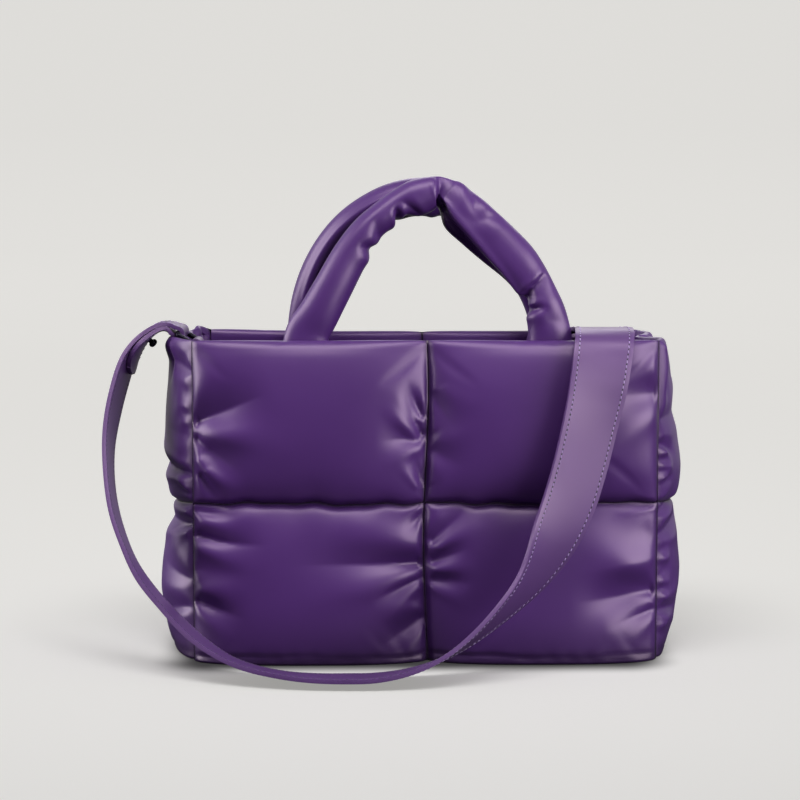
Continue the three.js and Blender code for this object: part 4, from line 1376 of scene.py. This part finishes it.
class HANDBAG_OT_stage(bpy.types.Operator):
    """Makes the camera, the pale floor and the soft studio light"""

    bl_idname = "handbag.make_stage"
    bl_label = "Make stage"

    def execute(self, context):
        scene = context.scene
        scene.view_settings.view_transform = "Standard"
        scene.camera = self.make_camera(scene)
        scene.world = self.make_room()
        floor = self.make_floor(scene.handbag_colours.floor)
        self.soft_box(scene, KEY_LAMP)
        for lamp in FILL_LAMPS:
            self.spare(floor, self.soft_box(scene, lamp))
        return {"FINISHED"}

    def make_camera(self, scene):
        """The photograph's camera."""
        data = bpy.data.cameras.new("Photo camera")
        data.sensor_width = CAMERA_SENSOR
        data.lens = CAMERA_LENS
        camera = bpy.data.objects.new("Photo camera", data)
        scene.collection.objects.link(camera)
        camera.location = CAMERA_PLACE
        camera.rotation_euler = (math.pi / 2 - CAMERA_PITCH, 0, -CAMERA_YAW)
        return camera

    def make_floor(self, colour):
        """A floor that runs up behind the bag."""
        floor = start_grid("studio_floor", 2, FLOOR_ROWS)
        points = corners(floor)
        run = (points[:, 1] + 1) / 2
        flat = np.minimum(run, FLOOR_FLAT_SHARE) / FLOOR_FLAT_SHARE
        points[:, 0] *= FLOOR_HALF_WIDTH
        points[:, 1] = np.where(run < 0.01, FLOOR_NEAREST, FLOOR_FRONT + FLOOR_DEPTH * flat)
        points[:, 2] = FLOOR_RISE * smoothstep(run, *FLOOR_BEND) ** 1.6
        set_corners(floor, points)
        bpy.ops.object.shade_smooth()
        make_floor_finish("pale_floor", colour)
        floor.data.materials.append(bpy.data.materials["pale_floor"])
        return floor

    def make_room(self):
        """A pale room, dimmer on the camera's side."""
        world = bpy.data.worlds.new("Studio")
        world.use_nodes = True
        work = NodeWork(world.node_tree)
        parts = work.add("SeparateXYZ")
        work.feed(parts.inputs["Vector"], work.add("TexCoord").outputs["Generated"])
        level = work.spread(parts.outputs["Y"], -0.95, 0.1, 0.08, 0.3, easing="SMOOTHSTEP")
        seen = work.add("LightPath").outputs["Is Camera Ray"]
        background = world.node_tree.nodes["Background"]
        work.feed(background.inputs["Color"], ROOM_WHITE)
        work.feed(background.inputs["Strength"], work.mix(seen, level, 0.76, kind="FLOAT"))
        return world

    def soft_box(self, scene, lamp):
        """A broad soft lamp that faces its aim."""
        light = bpy.data.lights.new(lamp.name, "AREA")
        light.shape = "RECTANGLE"
        light.size = lamp.width
        light.size_y = lamp.height
        light.energy = lamp.brightness * math.pi * lamp.width * lamp.height
        box = bpy.data.objects.new(lamp.name, light)
        scene.collection.objects.link(box)
        box.location = lamp.place
        box.rotation_euler = (Vector(lamp.aim) - Vector(lamp.place)).to_track_quat("-Z", "Y").to_euler()
        return box

    def spare(self, floor, box):
        """Keeps a lamp's light and its shadows off the floor."""
        group = bpy.data.collections.new(box.name + " receivers")
        group.objects.link(floor)
        group.collection_objects[0].light_linking.link_state = "EXCLUDE"
        box.light_linking.receiver_collection = group


class HANDBAG_OT_finishes(bpy.types.Operator):
    """Makes the leathers, the thread and the dark metal"""

    bl_idname = "handbag.make_finishes"
    bl_label = "Make finishes"

    def execute(self, context):
        colours = context.scene.handbag_colours
        grain = leather_grain_group()
        make_leather("wall_leather", colours.leather, grain, scale=900, roughness=0.38)
        make_leather("band_leather", colours.strap, grain, scale=700, roughness=0.4)
        make_thread("strap_thread", colours.thread)
        make_metal("dark_plating", colours.metal)
        return {"FINISHED"}


class HANDBAG_OT_walls(bpy.types.Operator):
    """Makes the four stuffed walls and the base"""

    bl_idname = "handbag.make_walls"
    bl_label = "Make walls"

    def execute(self, context):
        left = left_gusset()
        right = right_gusset()
        make_wall(PanelWall("front_panel", -1, FRONT_CREASES, rim_sag=0, tight=1))
        make_wall(PanelWall("back_panel", 1, BACK_CREASES, rim_sag=2 * MM, tight=0))
        make_wall(left)
        make_wall(right)
        make_base("base_panel", left, right)
        return {"FINISHED"}


class HANDBAG_OT_handles(bpy.types.Operator):
    """Makes the two padded handles"""

    bl_idname = "handbag.make_handles"
    bl_label = "Make handles"

    def execute(self, context):
        make_handle("front_handle", FRONT_HANDLE_ROWS, FRONT_HANDLE_CREASES, FRONT_HANDLE_SEAM)
        make_handle("rear_handle", REAR_HANDLE_ROWS, REAR_HANDLE_CREASES, REAR_HANDLE_SEAM)
        return {"FINISHED"}


class HANDBAG_OT_strap(bpy.types.Operator):
    """Makes the shoulder strap and its stitching"""

    bl_idname = "handbag.make_strap"
    bl_label = "Make strap"

    def execute(self, context):
        sizes = context.scene.handbag_sizes
        band = strap_band()
        strap = make_band("shoulder_strap", band, sizes.strap_width, sizes.strap_thickness,
                          STRAP_COLUMNS, STRAP_EDGE, STRAP_ROUNDING)
        stitches = make_stitches("strap_stitching", band, sizes)
        return {"FINISHED"}


class HANDBAG_OT_hardware(bpy.types.Operator):
    """Makes the rings, their tabs and the stud that hold the strap"""

    bl_idname = "handbag.make_hardware"
    bl_label = "Make hardware"

    def execute(self, context):
        lean = Vector((math.cos(LEFT_RING_SLOPE), 0, -math.sin(LEFT_RING_SLOPE)))
        left = LEFT_BAR + lean * RING_SHORT_MM * MM
        right = RIGHT_BAR + Vector((0, RING_SHORT_MM, 0)) * MM
        left_turn = Matrix.Rotation(LEFT_RING_SLOPE, 4, "Y") @ Matrix.Rotation(math.pi / 2, 4, "Z")
        make_ring("right_ring", right, Matrix.Identity(4))
        make_ring("left_ring", left, left_turn)
        make_tab("right_ring_tab", right_gusset(), right + Vector((RING_LONG_MM, 0, 0)) * MM, RIGHT_TAB)
        make_tab("left_ring_tab", left_gusset(), left * 2 - LEFT_BAR, LEFT_TAB)
        make_stud("strap_stud", strap_band(), STUD_STEP)
        return {"FINISHED"}


class HANDBAG_PT_panel(bpy.types.Panel):
    """Lists the handbag's steps"""

    bl_idname = "HANDBAG_PT_panel"
    bl_label = "Handbag"
    bl_space_type = "VIEW_3D"
    bl_region_type = "UI"
    bl_category = "Handbag"

    def draw(self, context):
        for step in STEPS:
            self.layout.operator(step.bl_idname)


STEPS = (
    HANDBAG_OT_stage,
    HANDBAG_OT_finishes,
    HANDBAG_OT_walls,
    HANDBAG_OT_handles,
    HANDBAG_OT_strap,
    HANDBAG_OT_hardware,
)
CLASSES = (HandbagSizes, HandbagColours, *STEPS, HANDBAG_PT_panel)


def register():
    for item in CLASSES:
        bpy.utils.register_class(item)
    bpy.types.Scene.handbag_sizes = bpy.props.PointerProperty(type=HandbagSizes)
    bpy.types.Scene.handbag_colours = bpy.props.PointerProperty(type=HandbagColours)


def unregister():
    del bpy.types.Scene.handbag_colours
    del bpy.types.Scene.handbag_sizes
    for item in reversed(CLASSES):
        bpy.utils.unregister_class(item)


def main():
    register()
    bpy.ops.handbag.make_stage()
    bpy.ops.handbag.make_finishes()
    bpy.ops.handbag.make_walls()
    bpy.ops.handbag.make_handles()
    bpy.ops.handbag.make_strap()
    bpy.ops.handbag.make_hardware()


if __name__ == "__main__":
    main()
